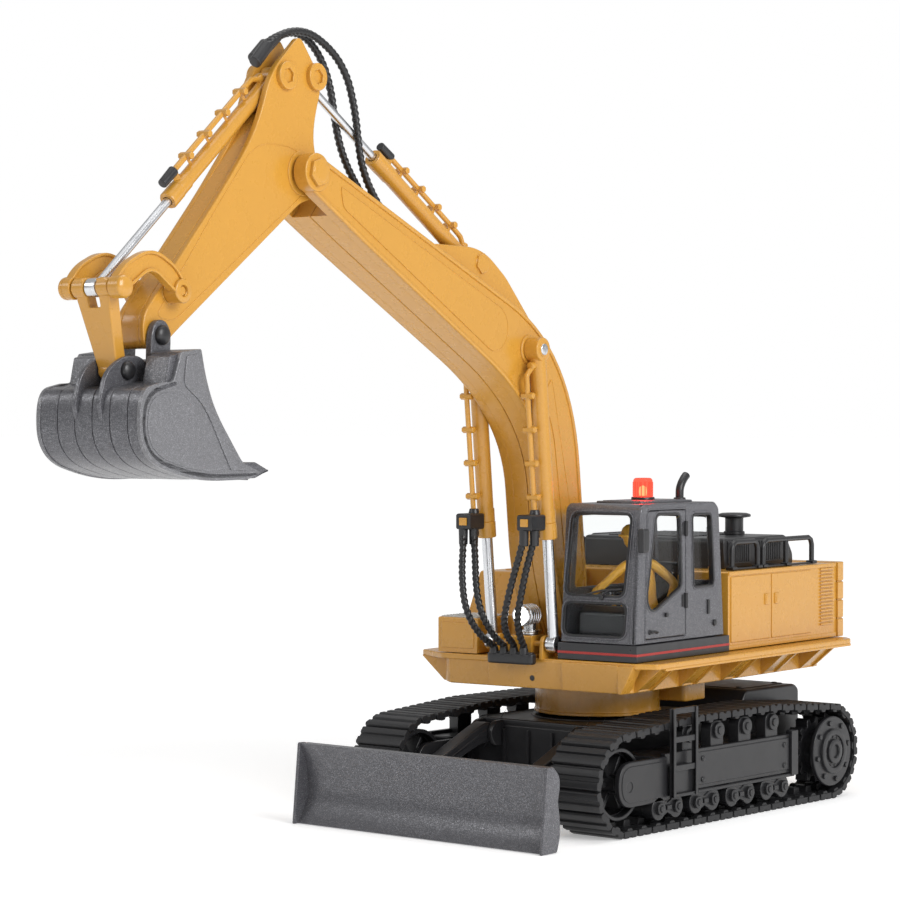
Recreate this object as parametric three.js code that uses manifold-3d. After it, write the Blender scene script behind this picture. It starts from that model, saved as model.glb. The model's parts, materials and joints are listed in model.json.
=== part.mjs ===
// Toy excavator of the 1:16 class, in millimetres, +Z up. The machine faces -Y and its left side is +X.
// The undercarriage lies square in the frame. Everything above the slew ring is drawn in its own frame,
// square to itself, and the whole upper group is then turned by SLEW_REST about the slew axis.
import * as THREE from "three";
import { mergeVertices } from "three/addons/utils/BufferGeometryUtils.js";
import Module from "manifold-3d";

const wasm = await Module();
wasm.setup();

// ---------------------------------------------------------------- driving dimensions
const GAP = 0.3;
const SLEW_REST = THREE.MathUtils.degToRad(4);

const TRACK = {
  inner: 50.5,
  outer: 81.5,
  idlerY: -82,
  sprocketY: 108,
  radius: 26.5,
  crestZ: 57,
  crestFront: -26,
  crestRear: 52,
  links: 45,
  shoe: 3.4,
  groove: 0.9,
  chain: 7.2,
  chainInner: 62,
  chainOuter: 70,
};
const PANEL_X = 80;
const FRAME_INNER_X = 51.4;
const LOWER_ROLLERS = { first: -55.4, pitch: 33, spacing: 15, z: 12 };
const CARRIER_TABS = [-26, -0.4, 25.4, 51.3]; // the y of each upper roller
const DECK = { bottom: 82.5, top: 85.5, halfWidth: 77, front: -68, rear: 155 };
const TUB = { bottom: 69.5, halfWidth: 60, front: -66, rear: 152 };
const RING = { radius: 33.8, wall: 2, bottom: 52, top: 82.2 };
const BLADE_HINGE = [-56, 43.5];
const GEAR = { teeth: 24, pinionTeeth: 6, reach: 25, bottom: 51, top: 56 };

const BOOM_X = -5; // centre plane of the boom, the stick and the bucket
const CYLINDER_SPREAD = 19.3; // each boom cylinder stands this far from the centre plane
const BOOM_HALF = 14.4;
const BOOM_TAPER = 0.00093; // the boom widens by this share per millimetre towards its tip
const STICK_HALF = 8;
const BUCKET_HALF = 30.5;

// Pivots of the working arm at rest, as [y, z] in the upper frame.
const FOOT = [-34, 103];
const BOOM_CYLINDER_TOP = [-79.5, 246];
const BOOM_CYLINDER_FOOT = [-64, 93];
const ARM_CYLINDER_BASE = [-113.5, 289];
const ARM_CYLINDER_END = [-247.4, 369.6];
const STICK_PIVOT = [-257, 323.9];
const BUCKET_CYLINDER_BASE = [-269.1, 368];
const ROCKER_PIVOT = [-347.8, 265.4];
const LINK_TOP = [-386.9, 265.7];
const LINK_BOTTOM = [-376.2, 230.3];
const BUCKET_PIVOT = [-358.2, 245.9];

// ---------------------------------------------------------------- materials
function plastic(color, roughness = 0.35, metalness = 0) {
  return new THREE.MeshStandardMaterial({ color, roughness, metalness });
}
const YELLOW = plastic(0xdfa041, 0.28);
const BLACK = plastic(0x232325, 0.45);
const GREY = plastic(0x56575b, 0.42, 0.35);
const BAND = plastic(0x2c2c2f, 0.4);
const CHROME = plastic(0xd8dade, 0.12, 1);
const STEEL = plastic(0x9a9ca0, 0.35, 1);
const CLEAR = new THREE.MeshStandardMaterial({
  color: 0xdfe8ec,
  roughness: 0.05,
  transparent: true,
  opacity: 0.3,
});
const RED = new THREE.MeshStandardMaterial({
  color: 0xe02418,
  roughness: 0.15,
  transparent: true,
  opacity: 0.85,
});
const RUBBER = plastic(0x1c1c1d, 0.7);
const GREEN = plastic(0x1f5b38, 0.5);
const BLUE = plastic(0x2f4f8f, 0.5);

// ---------------------------------------------------------------- solids from three.js shapes
function solidOf(source) {
  const bare = source.index ? source.toNonIndexed() : source.clone();
  bare.deleteAttribute("normal");
  bare.deleteAttribute("uv");
  const merged = mergeVertices(bare, 1e-4);
  return new wasm.Manifold(
    new wasm.Mesh({
      numProp: 3,
      vertProperties: merged.attributes.position.array,
      triVerts: new Uint32Array(merged.index.array),
    }),
  );
}

function geometryOf(solid) {
  const { vertProperties, triVerts } = solid.getMesh();
  const geometry = new THREE.BufferGeometry();
  geometry.setAttribute("position", new THREE.BufferAttribute(new Float32Array(vertProperties), 3));
  geometry.setIndex(new THREE.BufferAttribute(new Uint32Array(triVerts), 1));
  geometry.computeVertexNormals();
  return geometry;
}

const join = (...solids) => solids.reduce((sum, solid) => sum.add(solid));
const cut = (base, ...tools) => tools.reduce((rest, tool) => rest.subtract(tool), base);

function box(x0, x1, y0, y1, z0, z1) {
  const geometry = new THREE.BoxGeometry(x1 - x0, y1 - y0, z1 - z0);
  geometry.translate((x0 + x1) / 2, (y0 + y1) / 2, (z0 + z1) / 2);
  return solidOf(geometry);
}

// Whether an outline changes direction at b; a point in the middle of a straight run is left out of a shape.
function turnsAt(a, b, c) {
  const before = new THREE.Vector2(b[0] - a[0], b[1] - a[1]).normalize();
  const after = new THREE.Vector2(c[0] - b[0], c[1] - b[1]).normalize();
  return Math.abs(before.cross(after)) > 1e-4;
}

// A closed outline of [u, v] or [u, v, round] corners; round is the reach of the curve back from the corner.
function shapeOf(outline) {
  const shape = new THREE.Shape();
  const points = outline.filter((point, i) => turnsAt(
    outline.at(i - 1),
    point,
    outline[(i + 1) % outline.length],
  ));
  points.forEach(([u, v, round = 0], i) => {
    const corner = new THREE.Vector2(u, v);
    const towards = (j) => {
      const [nu, nv] = points[(j + points.length) % points.length];
      return corner.clone().add(new THREE.Vector2(nu - u, nv - v).setLength(round));
    };
    const start = towards(i - 1);
    const end = towards(i + 1);
    if (i === 0) shape.moveTo(start.x, start.y);
    else shape.lineTo(start.x, start.y);
    if (round > 0) shape.quadraticCurveTo(u, v, end.x, end.y);
  });
  return shape;
}

const AXES = {
  X: [new THREE.Vector3(0, 1, 0), new THREE.Vector3(0, 0, 1), new THREE.Vector3(1, 0, 0)],
  Y: [new THREE.Vector3(0, 0, 1), new THREE.Vector3(1, 0, 0), new THREE.Vector3(0, 1, 0)],
  Z: [new THREE.Vector3(1, 0, 0), new THREE.Vector3(0, 1, 0), new THREE.Vector3(0, 0, 1)],
};

function plate(axis, points, low, high, { holes = [], segments = 2, bend = (p) => p } = {}) {
  const options = { depth: high - low, bevelEnabled: false, curveSegments: segments };
  const geometry = new THREE.ExtrudeGeometry(shapeOf(points), options);
  geometry.translate(0, 0, low);
  geometry.applyMatrix4(new THREE.Matrix4().makeBasis(...AXES[axis]));
  const position = geometry.attributes.position;
  for (let i = 0; i < position.count; i++) {
    const moved = bend(new THREE.Vector3().fromBufferAttribute(position, i));
    position.setXYZ(i, moved.x, moved.y, moved.z);
  }
  return cut(solidOf(geometry), ...holes.map((hole) => plate(axis, hole, low - 1, high + 1, { segments })));
}
const plateX = (points, low, high, options) => plate("X", points, low, high, options); // points are [y, z]
const plateY = (points, low, high, options) => plate("Y", points, low, high, options); // points are [z, x]
const plateZ = (points, low, high, options) => plate("Z", points, low, high, options); // points are [x, y]

function rod(from, to, radius, { sides = 10, endRadius = radius } = {}) {
  const start = new THREE.Vector3(...from);
  const along = new THREE.Vector3(...to).sub(start);
  const geometry = new THREE.CylinderGeometry(endRadius, radius, along.length(), sides);
  geometry.translate(0, along.length() / 2, 0);
  const turn = new THREE.Quaternion().setFromUnitVectors(new THREE.Vector3(0, 1, 0), along.normalize());
  geometry.applyQuaternion(turn);
  geometry.translate(start.x, start.y, start.z);
  return solidOf(geometry);
}
const rodX = ([y, z], x0, x1, radius, options) => rod([x0, y, z], [x1, y, z], radius, options);

function ball(centre, radius, squash = [1, 1, 1], sides = 8) {
  const geometry = new THREE.SphereGeometry(radius, sides, sides / 2);
  geometry.scale(...squash);
  geometry.translate(...centre);
  return solidOf(geometry);
}

// A solid of revolution from a profile of [radius, z] that starts and ends on the axis or closes on itself.
function turned(profile, centre = [0, 0, 0], sides = 24, axis = "Z") {
  const geometry = new THREE.LatheGeometry(
    profile.map(([radius, z]) => new THREE.Vector2(radius, z)),
    sides,
  );
  if (axis === "Z") geometry.rotateX(Math.PI / 2);
  if (axis === "X") geometry.rotateZ(-Math.PI / 2);
  geometry.translate(...centre);
  return solidOf(geometry);
}

function sweep(points, radius, sides = 6, steps = 2 * points.length) {
  const path = new THREE.CatmullRomCurve3(points.map((p) => new THREE.Vector3(...p)), false, "centripetal");
  const section = new THREE.Shape();
  for (let i = 0; i < sides; i++) {
    const angle = (2 * Math.PI * i) / sides;
    section[i ? "lineTo" : "moveTo"](radius * Math.cos(angle), radius * Math.sin(angle));
  }
  return solidOf(new THREE.ExtrudeGeometry(section, { steps, bevelEnabled: false, extrudePath: path }));
}

function circle([u, v], radius, sides = 20, phase = 0) {
  return Array.from({ length: sides }, (_, i) => {
    const angle = phase + (2 * Math.PI * i) / sides;
    return [u + radius * Math.cos(angle), v + radius * Math.sin(angle)];
  });
}

function toothedWheel([u, v], teeth, tip, root, phase = 0) {
  const pitch = (2 * Math.PI) / teeth;
  const steps = [
    [-0.26, root],
    [-0.08, tip],
    [0.08, tip],
    [0.26, root],
  ];
  return Array.from({ length: teeth }, (_, i) =>
    steps.map(([share, radius]) => {
      const angle = phase + (i + share) * pitch;
      return [u + radius * Math.cos(angle), v + radius * Math.sin(angle)];
    }),
  ).flat();
}

// The same outline moved inwards by a wall thickness, for outlines that run clockwise or anticlockwise.
function inset(points, wall) {
  const area = points.reduce((sum, [u, v], i) => {
    const [nu, nv] = points[(i + 1) % points.length];
    return sum + u * nv - nu * v;
  }, 0);
  const side = Math.sign(area);
  const normal = ([u, v], [nu, nv]) => new THREE.Vector2(side * (v - nv), side * (nu - u)).normalize();
  return points.map(([u, v, round = 0], i) => {
    const before = normal(points.at(i - 1), [u, v]);
    const after = normal([u, v], points[(i + 1) % points.length]);
    const mitre = before.clone().add(after);
    const reach = wall / (mitre.lengthSq() / 2);
    return [u + mitre.x * reach, v + mitre.y * reach, Math.max(0, round - wall)];
  });
}

const part = new THREE.Group();
const upper = new THREE.Group();
upper.rotation.z = SLEW_REST;
part.add(upper);

function add(group, name, solid, material) {
  const mesh = new THREE.Mesh(geometryOf(solid), material);
  mesh.name = name;
  group.add(mesh);
}

// ---------------------------------------------------------------- undercarriage
function trackLoop(depth) {
  const { idlerY, sprocketY, radius, crestZ, crestFront, crestRear } = TRACK;
  const lean = (run) => Math.atan2(crestZ - 2 * radius, Math.abs(run));
  const path = new THREE.Path();
  path.moveTo(sprocketY, depth);
  path.lineTo(idlerY, depth);
  path.absarc(
    idlerY,
    radius,
    radius - depth,
    -Math.PI / 2,
    -1.5 * Math.PI + lean(crestFront - idlerY),
    true,
  );
  path.lineTo(crestFront, crestZ - depth);
  path.lineTo(crestRear, crestZ - depth);
  path.absarc(
    sprocketY,
    radius,
    radius - depth,
    Math.PI / 2 - lean(sprocketY - crestRear),
    -Math.PI / 2,
    true,
  );
  return path;
}

function loopPoints(depth, count) {
  return trackLoop(depth).getSpacedPoints(count).slice(0, count).map((p) => [p.x, p.y]);
}

// Each shoe is highest in its middle and lowest at the seam to the next one.
function trackBelt() {
  const high = loopPoints(0, TRACK.links * 2);
  const low = loopPoints(TRACK.groove, TRACK.links * 2);
  const outer = high.map((point, i) => (i % 2 ? point : low[i]));
  const shoes = plateX(outer, TRACK.inner, TRACK.outer, { holes: [loopPoints(TRACK.shoe, 64)] });
  const chain = plateX(loopPoints(TRACK.shoe - 0.6, 44), TRACK.chainInner, TRACK.chainOuter, {
    holes: [loopPoints(TRACK.chain, 64)],
  });
  return join(shoes, chain);
}

function spokedWheel(centre, x0, x1, radius, rim, hub, bore, spokes) {
  const ring = plateX(circle(centre, radius, 20), x0, x1, { holes: [circle(centre, radius - rim, 20)] });
  const arms = Array.from({ length: spokes }, (_, i) => {
    const angle = (Math.PI * 2 * i) / spokes;
    const [dy, dz] = [Math.cos(angle), Math.sin(angle)];
    const at = (along, across) => [
      centre[0] + along * dy - across * dz,
      centre[1] + along * dz + across * dy,
    ];
    const middle = (x0 + x1) / 2;
    return plateX(
      [at(0, -0.9), at(radius - rim / 2, -0.9), at(radius - rim / 2, 0.9), at(0, 0.9)],
      middle - 4,
      middle + 4,
    );
  });
  return cut(join(ring, ...arms, rodX(centre, x0, x1, hub)), rodX(centre, x0 - 1, x1 + 1, bore));
}

function sprocket(centre) {
  const faceX = TRACK.outer - 3;
  const teeth = plateX(toothedWheel(centre, 13, 18.2, 15.2), TRACK.chainInner, TRACK.chainOuter);
  const drum = rodX(centre, 57, faceX + 0.5, 11, { sides: 8 });
  const disc = rodX(centre, faceX, faceX + 3.2, 19.3, { sides: 12 });
  const flange = rodX(centre, faceX + 3, faceX + 5.2, 12.2, { sides: 12 });
  const boss = rodX(centre, faceX + 5, faceX + 5.8, 6.8, { sides: 8 });
  const bore = rodX(centre, faceX + 1, faceX + 9, 3.5, { sides: 8 });
  const shaftBore = rodX(centre, 56, 66, 2.3, { sides: 8 });
  return cut(join(teeth, drum, disc, flange, boss), bore, shaftBore);
}

function ladder() {
  const [low, high, front, rear] = [17, 62.5, -48.3, -26.9];
  const [back, face] = [TRACK.outer + 0.5, TRACK.outer + 3];
  const rungs = [17, 31.6, 46.2].map((z) => [
    [front + 1.8, z + 1.6], [rear - 1.8, z + 1.6], [rear - 1.8, z + 13.4], [front + 1.8, z + 13.4],
  ]);
  const frame = plateX(
    [[front, low], [rear, low], [rear, high], [front, high]],
    back,
    face,
    { holes: rungs },
  );
  return join(frame, box(PANEL_X - 2, back + 0.2, front + 1.9, rear - 1.9, low, 33));
}

function trackFrame() {
  const idler = [TRACK.idlerY, TRACK.radius];
  const panel = join(
    plateX([[-49, 17], [72, 17], [72, 39.5], [-49, 39.5]], PANEL_X - 3, PANEL_X),
    plateX([[69.5, 17], [72.5, 17], [72.5, 43], [69.5, 43]], PANEL_X - 3, PANEL_X + 1.6),
    plateX([[-20, 16.6], [72.5, 16.6], [72.5, 18], [-20, 18]], PANEL_X - 3, PANEL_X + 1.2),
  );
  const beam = box(56, PANEL_X - 2.9, -50, 72, 17, 38);
  const fork = plateX(
    [[-91, 15, 11.4], [-48, 15.4], [-48, 38], [-91, 38, 11.4]],
    PANEL_X - 1.6,
    PANEL_X + 1.2,
  );
  const innerFork = plateX([[-91, 15, 11.4], [-48, 15.4], [-48, 38], [-91, 38, 11.4]], FRAME_INNER_X, 54.4);
  const innerWeb = box(FRAME_INNER_X, 56.1, -52, 76, 17, 38);
  const axle = rodX(idler, 54, PANEL_X, 1.9, { sides: 8 });
  const tabs = CARRIER_TABS.map((y) => {
    const outline = [[y - 5.8, 36], [y + 5.8, 36], [y + 5.8, 52, 5.6], [y - 5.8, 52, 5.6]];
    return plateX(outline, PANEL_X - 8, PANEL_X - 0.6);
  });
  const bogies = [0, 1, 2, 3].map((i) => {
    const y0 = LOWER_ROLLERS.first + i * LOWER_ROLLERS.pitch;
    const y1 = y0 + LOWER_ROLLERS.spacing;
    const { z } = LOWER_ROLLERS;
    const waist = [
      [y0 - 6, z - 3], [y0 - 3, z - 6], [y0 + 3, z - 6], [y0 + 7.5, z - 2.4], [y1 - 3, z - 6],
      [y1 + 3, z - 6], [y1 + 6, z - 3], [y1 + 6, z + 3], [y1 + 3, 18], [y0 - 3, 18], [y0 - 6, z + 3],
    ];
    const hubs = [y0, y1].map((y) => rodX([y, z], PANEL_X + 0.2, PANEL_X + 3.2, 3.2, { sides: 6 }));
    return join(plateX(waist, PANEL_X - 6, PANEL_X + 0.4), ...hubs);
  });
  return join(beam, panel, fork, innerFork, innerWeb, axle, ladder(), ...tabs, ...bogies);
}

function addTrackSide(side, mirror) {
  const group = new THREE.Group();
  group.scale.x = mirror;
  part.add(group);
  add(group, `track_belt_${side}`, trackBelt(), RUBBER);
  add(group, `track_frame_${side}`, trackFrame(), BLACK);
  const idler = spokedWheel([TRACK.idlerY, TRACK.radius], 57, 75.4, 18.5, 1.7, 4.6, 2.2, 6);
  add(group, `idler_${side}`, idler, BLACK);
  add(group, `sprocket_${side}`, sprocket([TRACK.sprocketY, TRACK.radius]), BLACK);
  const axis = [TRACK.sprocketY, TRACK.radius];
  const motor = join(
    box(20, 41.8, axis[0] - 12, axis[0] + 12, 16.4, 38),
    rodX(axis, 41, 65, 2, { sides: 8 }),
    rodX([axis[0], 30], 3, 20.5, 7.5, { sides: 8 }),
  );
  add(group, `drive_motor_${side}`, motor, STEEL);
}

addTrackSide("left", 1);
addTrackSide("right", -1);

function chassis() {
  const topPlate = plateZ([[-46, -50, 8], [46, -50, 8], [46, 58, 8], [-46, 58, 8]], 47, 50.4);
  const tub = cut(box(-42, 42, -50, 74, 15, 47.2), box(-40, 40, -48, 72, 14, 44));
  const crossBeams = [[-46, -24], [34, 62]].map(([y0, y1]) => box(-51, 51, y0, y1, 20, 36));
  const ears = [-41.2, -28.6, 25.6, 38.2].map((x) =>
    join(rodX(BLADE_HINGE, x, x + 3, 5.2), box(x, x + 3, -57, -49.5, 34, 48)),
  );
  const hingeBores = rodX(BLADE_HINGE, -45, 45, 2.6, { sides: 8 });
  const ringSeat = rod([0, 0, 50], [0, 0, GEAR.bottom - 0.4], 36, { sides: 32 });
  return cut(join(topPlate, tub, ...crossBeams, ringSeat, ...ears), hingeBores);
}
add(part, "chassis_frame", chassis(), BLACK);

function rearHousing() {
  const outline = [[74.6, 14], [132, 14], [132, 56], [128, 60.2], [79, 60.2], [74.6, 55]];
  const shell = cut(
    plateX(outline, -44.3, 44.3),
    plateX(inset(outline, 2), -42.3, 42.3),
    box(-42.3, 42.3, 77, 130, 10, 20),
  );
  const shafts = box(-50, 50, 104.5, 111.5, 10, 31);
  return cut(shell, shafts);
}
add(part, "rear_housing", rearHousing(), BLACK);
add(
  part,
  "base_cover",
  plateZ([[-41.8, 77.4], [41.8, 77.4], [41.8, 129.6], [-41.8, 129.6]], 14, 15.6),
  BLACK,
);

function batteryPack() {
  const cells = [-31.5, -10.5, 10.5, 31.5].map((x) => rod([x, 80, 49], [x, 128, 49], 7.2, { sides: 12 }));
  return join(...cells, box(-33, 33, 84, 124, 43, 49));
}
add(part, "battery_pack", batteryPack(), BLUE);

const slewRack = plateZ(toothedWheel([0, 0], GEAR.teeth, 21, 18.4), GEAR.bottom, GEAR.top, {
  holes: [circle([0, 0], 12)],
});
add(part, "slew_gear", slewRack, BLACK);

// ---------------------------------------------------------------- blade
function blade() {
  const face = [
    [-149.7, 42],
    [-145.6, 34],
    [-143.6, 24],
    [-144.4, 14],
    [-147.8, 6],
    [-153.8, 0.2],
    [-150.6, 0.2],
    [-144.4, 6],
    [-141.4, 14],
    [-140.8, 24],
    [-142.8, 34],
    [-146.6, 42],
  ];
  const end = [
    [-153.8, 0.2], [-149.7, 42], [-145, 42, 2], [-139.8, 38, 3], [-142.2, 27, 2], [-139.6, 20, 3],
    [-140.4, 1, 2],
  ];
  const ends = [[-82.5, -80.7], [80.7, 82.5]].map(([x0, x1]) => plateX(end, x0, x1));
  const ribs = [-58, 0, 58].map((x) => plateX(
    [[-142, 4], [-139.5, 8], [-139.5, 34], [-144, 34]],
    x - 1,
    x + 1,
  ));
  const rail = box(-80.8, 80.8, -142, -139.4, 29, 31);
  return join(plateX(face, -80.8, 80.8), ...ends, ...ribs, rail);
}
add(part, "blade", blade(), GREY);

function bladeArms() {
  const arm = [
    [-56, 48.5, 3], [-51.5, 43.5, 3], [-56, 38.6, 3], [-62, 38.6], [-139, 12], [-139, 22], [-64, 47.6, 3],
  ];
  const arms = [-33.4, 33.4].map((x) => plateX(arm, x - 4.4, x + 4.4));
  const trunnions = [-40.6, 26.4].map((x) => rodX(BLADE_HINGE, x, x + 14.2, 2, { sides: 8 }));
  const tie = box(-33, 33, -128, -118, 17, 21);
  return join(...arms, ...trunnions, tie);
}
add(part, "blade_arms", bladeArms(), BLACK);

// ---------------------------------------------------------------- turntable and platform
function turntable() {
  const { radius, wall, bottom, top } = RING;
  const hoop = cut(
    rod([0, 0, bottom], [0, 0, top], radius, { sides: 32 }),
    rod([0, 0, bottom - 1], [0, 0, top - 3], radius - wall, { sides: 32 }),
  );
  const bulge = cut(
    box(12, 44, 12, 42, 57.8, 69),
    rod([0, 0, 40], [0, 0, 90], radius - wall, { sides: 32 }),
  );
  const window = box(-8, 8, -14, -4, 78, 84);
  return cut(join(hoop, bulge), window);
}
add(upper, "turntable", turntable(), YELLOW);

// The pinion sits at 45 degrees, where the slew gear has a tooth and the pinion a gap.
const PINION_ANGLE = Math.PI / 4;
const pinionAt = [GEAR.reach * Math.cos(PINION_ANGLE), GEAR.reach * Math.sin(PINION_ANGLE)];
const rolled = (SLEW_REST * GEAR.teeth) / GEAR.pinionTeeth;
const pinionPhase = PINION_ANGLE + Math.PI + Math.PI / GEAR.pinionTeeth + rolled;
const pinion = join(
  plateZ(toothedWheel(pinionAt, GEAR.pinionTeeth, 6, 3.4, pinionPhase), GEAR.bottom, GEAR.top),
  rod([...pinionAt, GEAR.top - 1], [...pinionAt, 62], 1, { sides: 8 }),
);
add(upper, "slew_pinion", pinion, STEEL);
const slewMotor = cut(
  rod([...pinionAt, 57.4], [...pinionAt, 78.6], 5.9, { sides: 12 }),
  rod([...pinionAt, 50], [...pinionAt, 63], 1.4, { sides: 8 }),
);
add(upper, "slew_motor", slewMotor, STEEL);

function platform() {
  const { front, rear, halfWidth } = DECK;
  const deckOutline = [
    [-55, front],
    [66, front],
    [halfWidth, -62],
    [halfWidth, rear - 8],
    [70, rear],
    [-70, rear],
    [-halfWidth, rear - 8],
    [-halfWidth, -56],
  ];
  const deck = plateZ(deckOutline, DECK.bottom, DECK.top);
  const tubOutline = [
    [-51, TUB.front], [57, TUB.front], [TUB.halfWidth, -60], [TUB.halfWidth, TUB.rear - 14],
    [50, TUB.rear], [-50, TUB.rear], [-TUB.halfWidth, TUB.rear - 14], [-TUB.halfWidth, -58],
  ];
  const skirt = cut(
    plateZ(tubOutline, TUB.bottom, DECK.bottom + 0.1),
    plateZ(inset(tubOutline, 2.4), TUB.bottom - 1, DECK.bottom + 1),
  );
  const frontPanels = [
    [[-51, -31], -67.4],
    [[-31, 15], -68.4],
    [[15, 57], -69.4],
  ].map(([[x0, x1], y]) =>
    plateX(
      [
        [TUB.front + 0.2, TUB.bottom], [y + 1.4, TUB.bottom], [y, DECK.top - 1],
        [TUB.front + 0.2, DECK.top - 1],
      ],
      x0,
      x1,
    ),
  );
  const ribs = [-57, -13.5, 30, 73.5, 117, 138].flatMap((y) =>
    [1, -1].map((side) => {
      const edge = [
        [TUB.bottom, side * (TUB.halfWidth - 1)], [TUB.bottom, side * (TUB.halfWidth + 1)],
        [DECK.bottom + 0.2, side * (DECK.halfWidth - 1.5)],
        [DECK.bottom + 0.2, side * (TUB.halfWidth - 1)],
      ];
      return plateY(side > 0 ? edge : edge.reverse(), y, y + (y > 130 ? 9 : 15));
    }),
  );
  const lugs = [BOOM_X + 15.6, BOOM_X - 18.8].map((x) =>
    plateX([[-48, DECK.top - 1], [-20, DECK.top - 1], [-22, 112, 8], [-46, 112, 8]], x, x + 3.2),
  );
  const lampBlock = box(BOOM_X - 7.5, BOOM_X + 7.5, -67.6, -52, DECK.top - 1, 97);
  const crossPins = rodX(
    BOOM_CYLINDER_FOOT,
    BOOM_X - CYLINDER_SPREAD - 3,
    BOOM_X + CYLINDER_SPREAD + 2.6,
    1.5,
    { sides: 8 },
  );
  const footBore = rodX(FOOT, BOOM_X - 22, BOOM_X + 22, 3.3);
  const turntableHole = rod(
    [0, 0, TUB.bottom - 2],
    [0, 0, DECK.bottom],
    RING.radius + GAP + 0.2,
    { sides: 32 },
  );
  const body = join(deck, skirt, ...frontPanels, ...ribs, ...lugs, lampBlock, crossPins);
  return cut(body, footBore, turntableHole);
}
add(upper, "platform", platform(), YELLOW);

const footPin = join(
  rodX(FOOT, BOOM_X - 18.6, BOOM_X + 20.4, 3),
  rodX(FOOT, BOOM_X + 19.1, BOOM_X + 21.4, 5, { sides: 6 }),
);

// ---------------------------------------------------------------- housings on the platform
const HOUSING = { left: 65.5, right: -59, front: 28, rear: 150.6, top: 128.2 };
const FLOOR = DECK.top + GAP;

function bodyHousing() {
  const { left, right, front, rear, top } = HOUSING;
  const shell = cut(
    box(right, left, front, rear, FLOOR, top),
    box(right + 2, left - 2, front + 2, rear - 2, FLOOR - 1, top - 2),
  );
  const grooves = [[30.5, 31.1], [76.2, 76.8], [120.2, 120.8]].map(([y0, y1]) => box(
    left - 0.5,
    left + 1,
    y0,
    y1,
    89.6,
    125,
  ));
  const seams = [[89.6, 90.2], [124.6, 125.2]].map(([z0, z1]) => box(
    left - 0.5,
    left + 1,
    30.5,
    120.8,
    z0,
    z1,
  ));
  const louvres = Array.from(
    { length: 6 },
    (_, i) => box(left - 0.9, left + 1, 131, 145, 98 + i * 4.6, 100 + i * 4.6),
  );
  const rearGroove = box(left - 0.9, left + 1, 147, 149.4, FLOOR + 2, top + 1);
  const coolingHole = box(-20, 30, 66, 112, top - 3, top + 1);
  return cut(shell, ...grooves, ...seams, ...louvres, rearGroove, coolingHole);
}
add(upper, "body_housing", bodyHousing(), YELLOW);

function counterweight() {
  const y0 = HOUSING.rear + GAP;
  const outline = [
    [HOUSING.right - 1, y0], [HOUSING.left + 1, y0], [HOUSING.left + 1, 161.5, 8],
    [HOUSING.right - 1, 161.5, 8],
  ];
  const body = plateZ(outline, FLOOR, HOUSING.top + 0.4);
  const grooves = [108, 119].map((z) =>
    cut(plateZ(outline, z, z + 0.8), plateZ(inset(outline, 0.8), z - 1, z + 2)),
  );
  return cut(body, ...grooves);
}
add(upper, "counterweight", counterweight(), YELLOW);

function rightHousing() {
  const front = -66.6;
  const tool = [[front, FLOOR], [front, 104.8], [-38, 104.8], [-38, FLOOR]];
  const tank = [[-38.5, FLOOR], [-38.5, 104.8], [-27, 127.8], [27.4, 127.8], [27.4, FLOOR]];
  const toolSolid = plateX(tool, HOUSING.right, -32.5);
  const tankSolid = plateX(tank, HOUSING.right, -24.2);
  const toolInside = plateX(inset(tool, 2), HOUSING.right + 2, -34.5);
  const tankInside = plateX(inset(tank, 2), HOUSING.right + 2, -26.2);
  const openBottom = join(
    box(HOUSING.right + 2, -34.5, front + 2, -40, 80, 90),
    box(HOUSING.right + 2, -26.2, -36.5, 25.4, 80, 90),
  );
  return cut(join(toolSolid, tankSolid), toolInside, tankInside, openBottom);
}
add(upper, "right_housing", rightHousing(), YELLOW);

function engineCover() {
  const z0 = HOUSING.top + GAP;
  const outline = [[51, z0], [129, z0], [121, 145], [51, 145]];
  const shell = cut(
    plateX(outline, -42, 50),
    plateX(inset(outline, 1.8), -40.2, 48.2),
    box(-40.2, 48.2, 53, 127, z0 - 2, z0 + 3),
  );
  const louvres = [[56, 80], [86, 112]].map(([y0, y1]) => box(49.4, 51, y0, y1, z0 + 2, 141));
  const rails = [60.5, -53].flatMap((x) => {
    const bracket = x > 0 ? [48.5, x] : [x, -40.5];
    const arch = (y0, y1, high) => [
      [y0, z0], [y0, high - 4], [y0 + 4, high], [y1 - 4, high], [y1, high - 4], [y1, z0],
    ];
    const posts = [[40, 68], [74, 130]].map(([y0, y1]) =>
      cut(
        plateX(arch(y0 - 1.4, y1 + 1.4, 145), x - 1.4, x + 1.4),
        plateX(arch(y0 + 1.4, y1 - 1.4, 142.2), x - 2, x + 2),
      ),
    );
    const strip = box(x - 1, x + 1, 40, 130, z0, z0 + 1.2);
    return [...posts, strip, box(bracket[0], bracket[1], 96, 99, z0, z0 + 1.2)];
  });
  return join(cut(shell, ...louvres), ...rails);
}
add(upper, "engine_cover", engineCover(), BLACK);

const stackProfile = [
  [0, 0], [6, 0], [6, 9.4], [9.4, 9.8], [9.4, 11.2], [7, 12], [4.4, 12], [4.4, 4], [0, 4],
];
add(upper, "exhaust_stack", turned(stackProfile, [25, 104, 145 + GAP], 16), BLACK);

const boardSolid = join(
  box(-30, 40, 60, 116, 96, 97.6),
  box(-10, 8, 76, 94, 97.5, 100),
  box(22, 34, 66, 80, 97.5, 103),
);
const boardPosts = [[-26, 64], [36, 64], [-26, 112], [36, 112]].map(([x, y]) => rod(
  [x, y, FLOOR],
  [x, y, 96.4],
  2,
  { sides: 8 },
));
add(upper, "control_board", join(boardSolid, ...boardPosts), GREEN);

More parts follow.
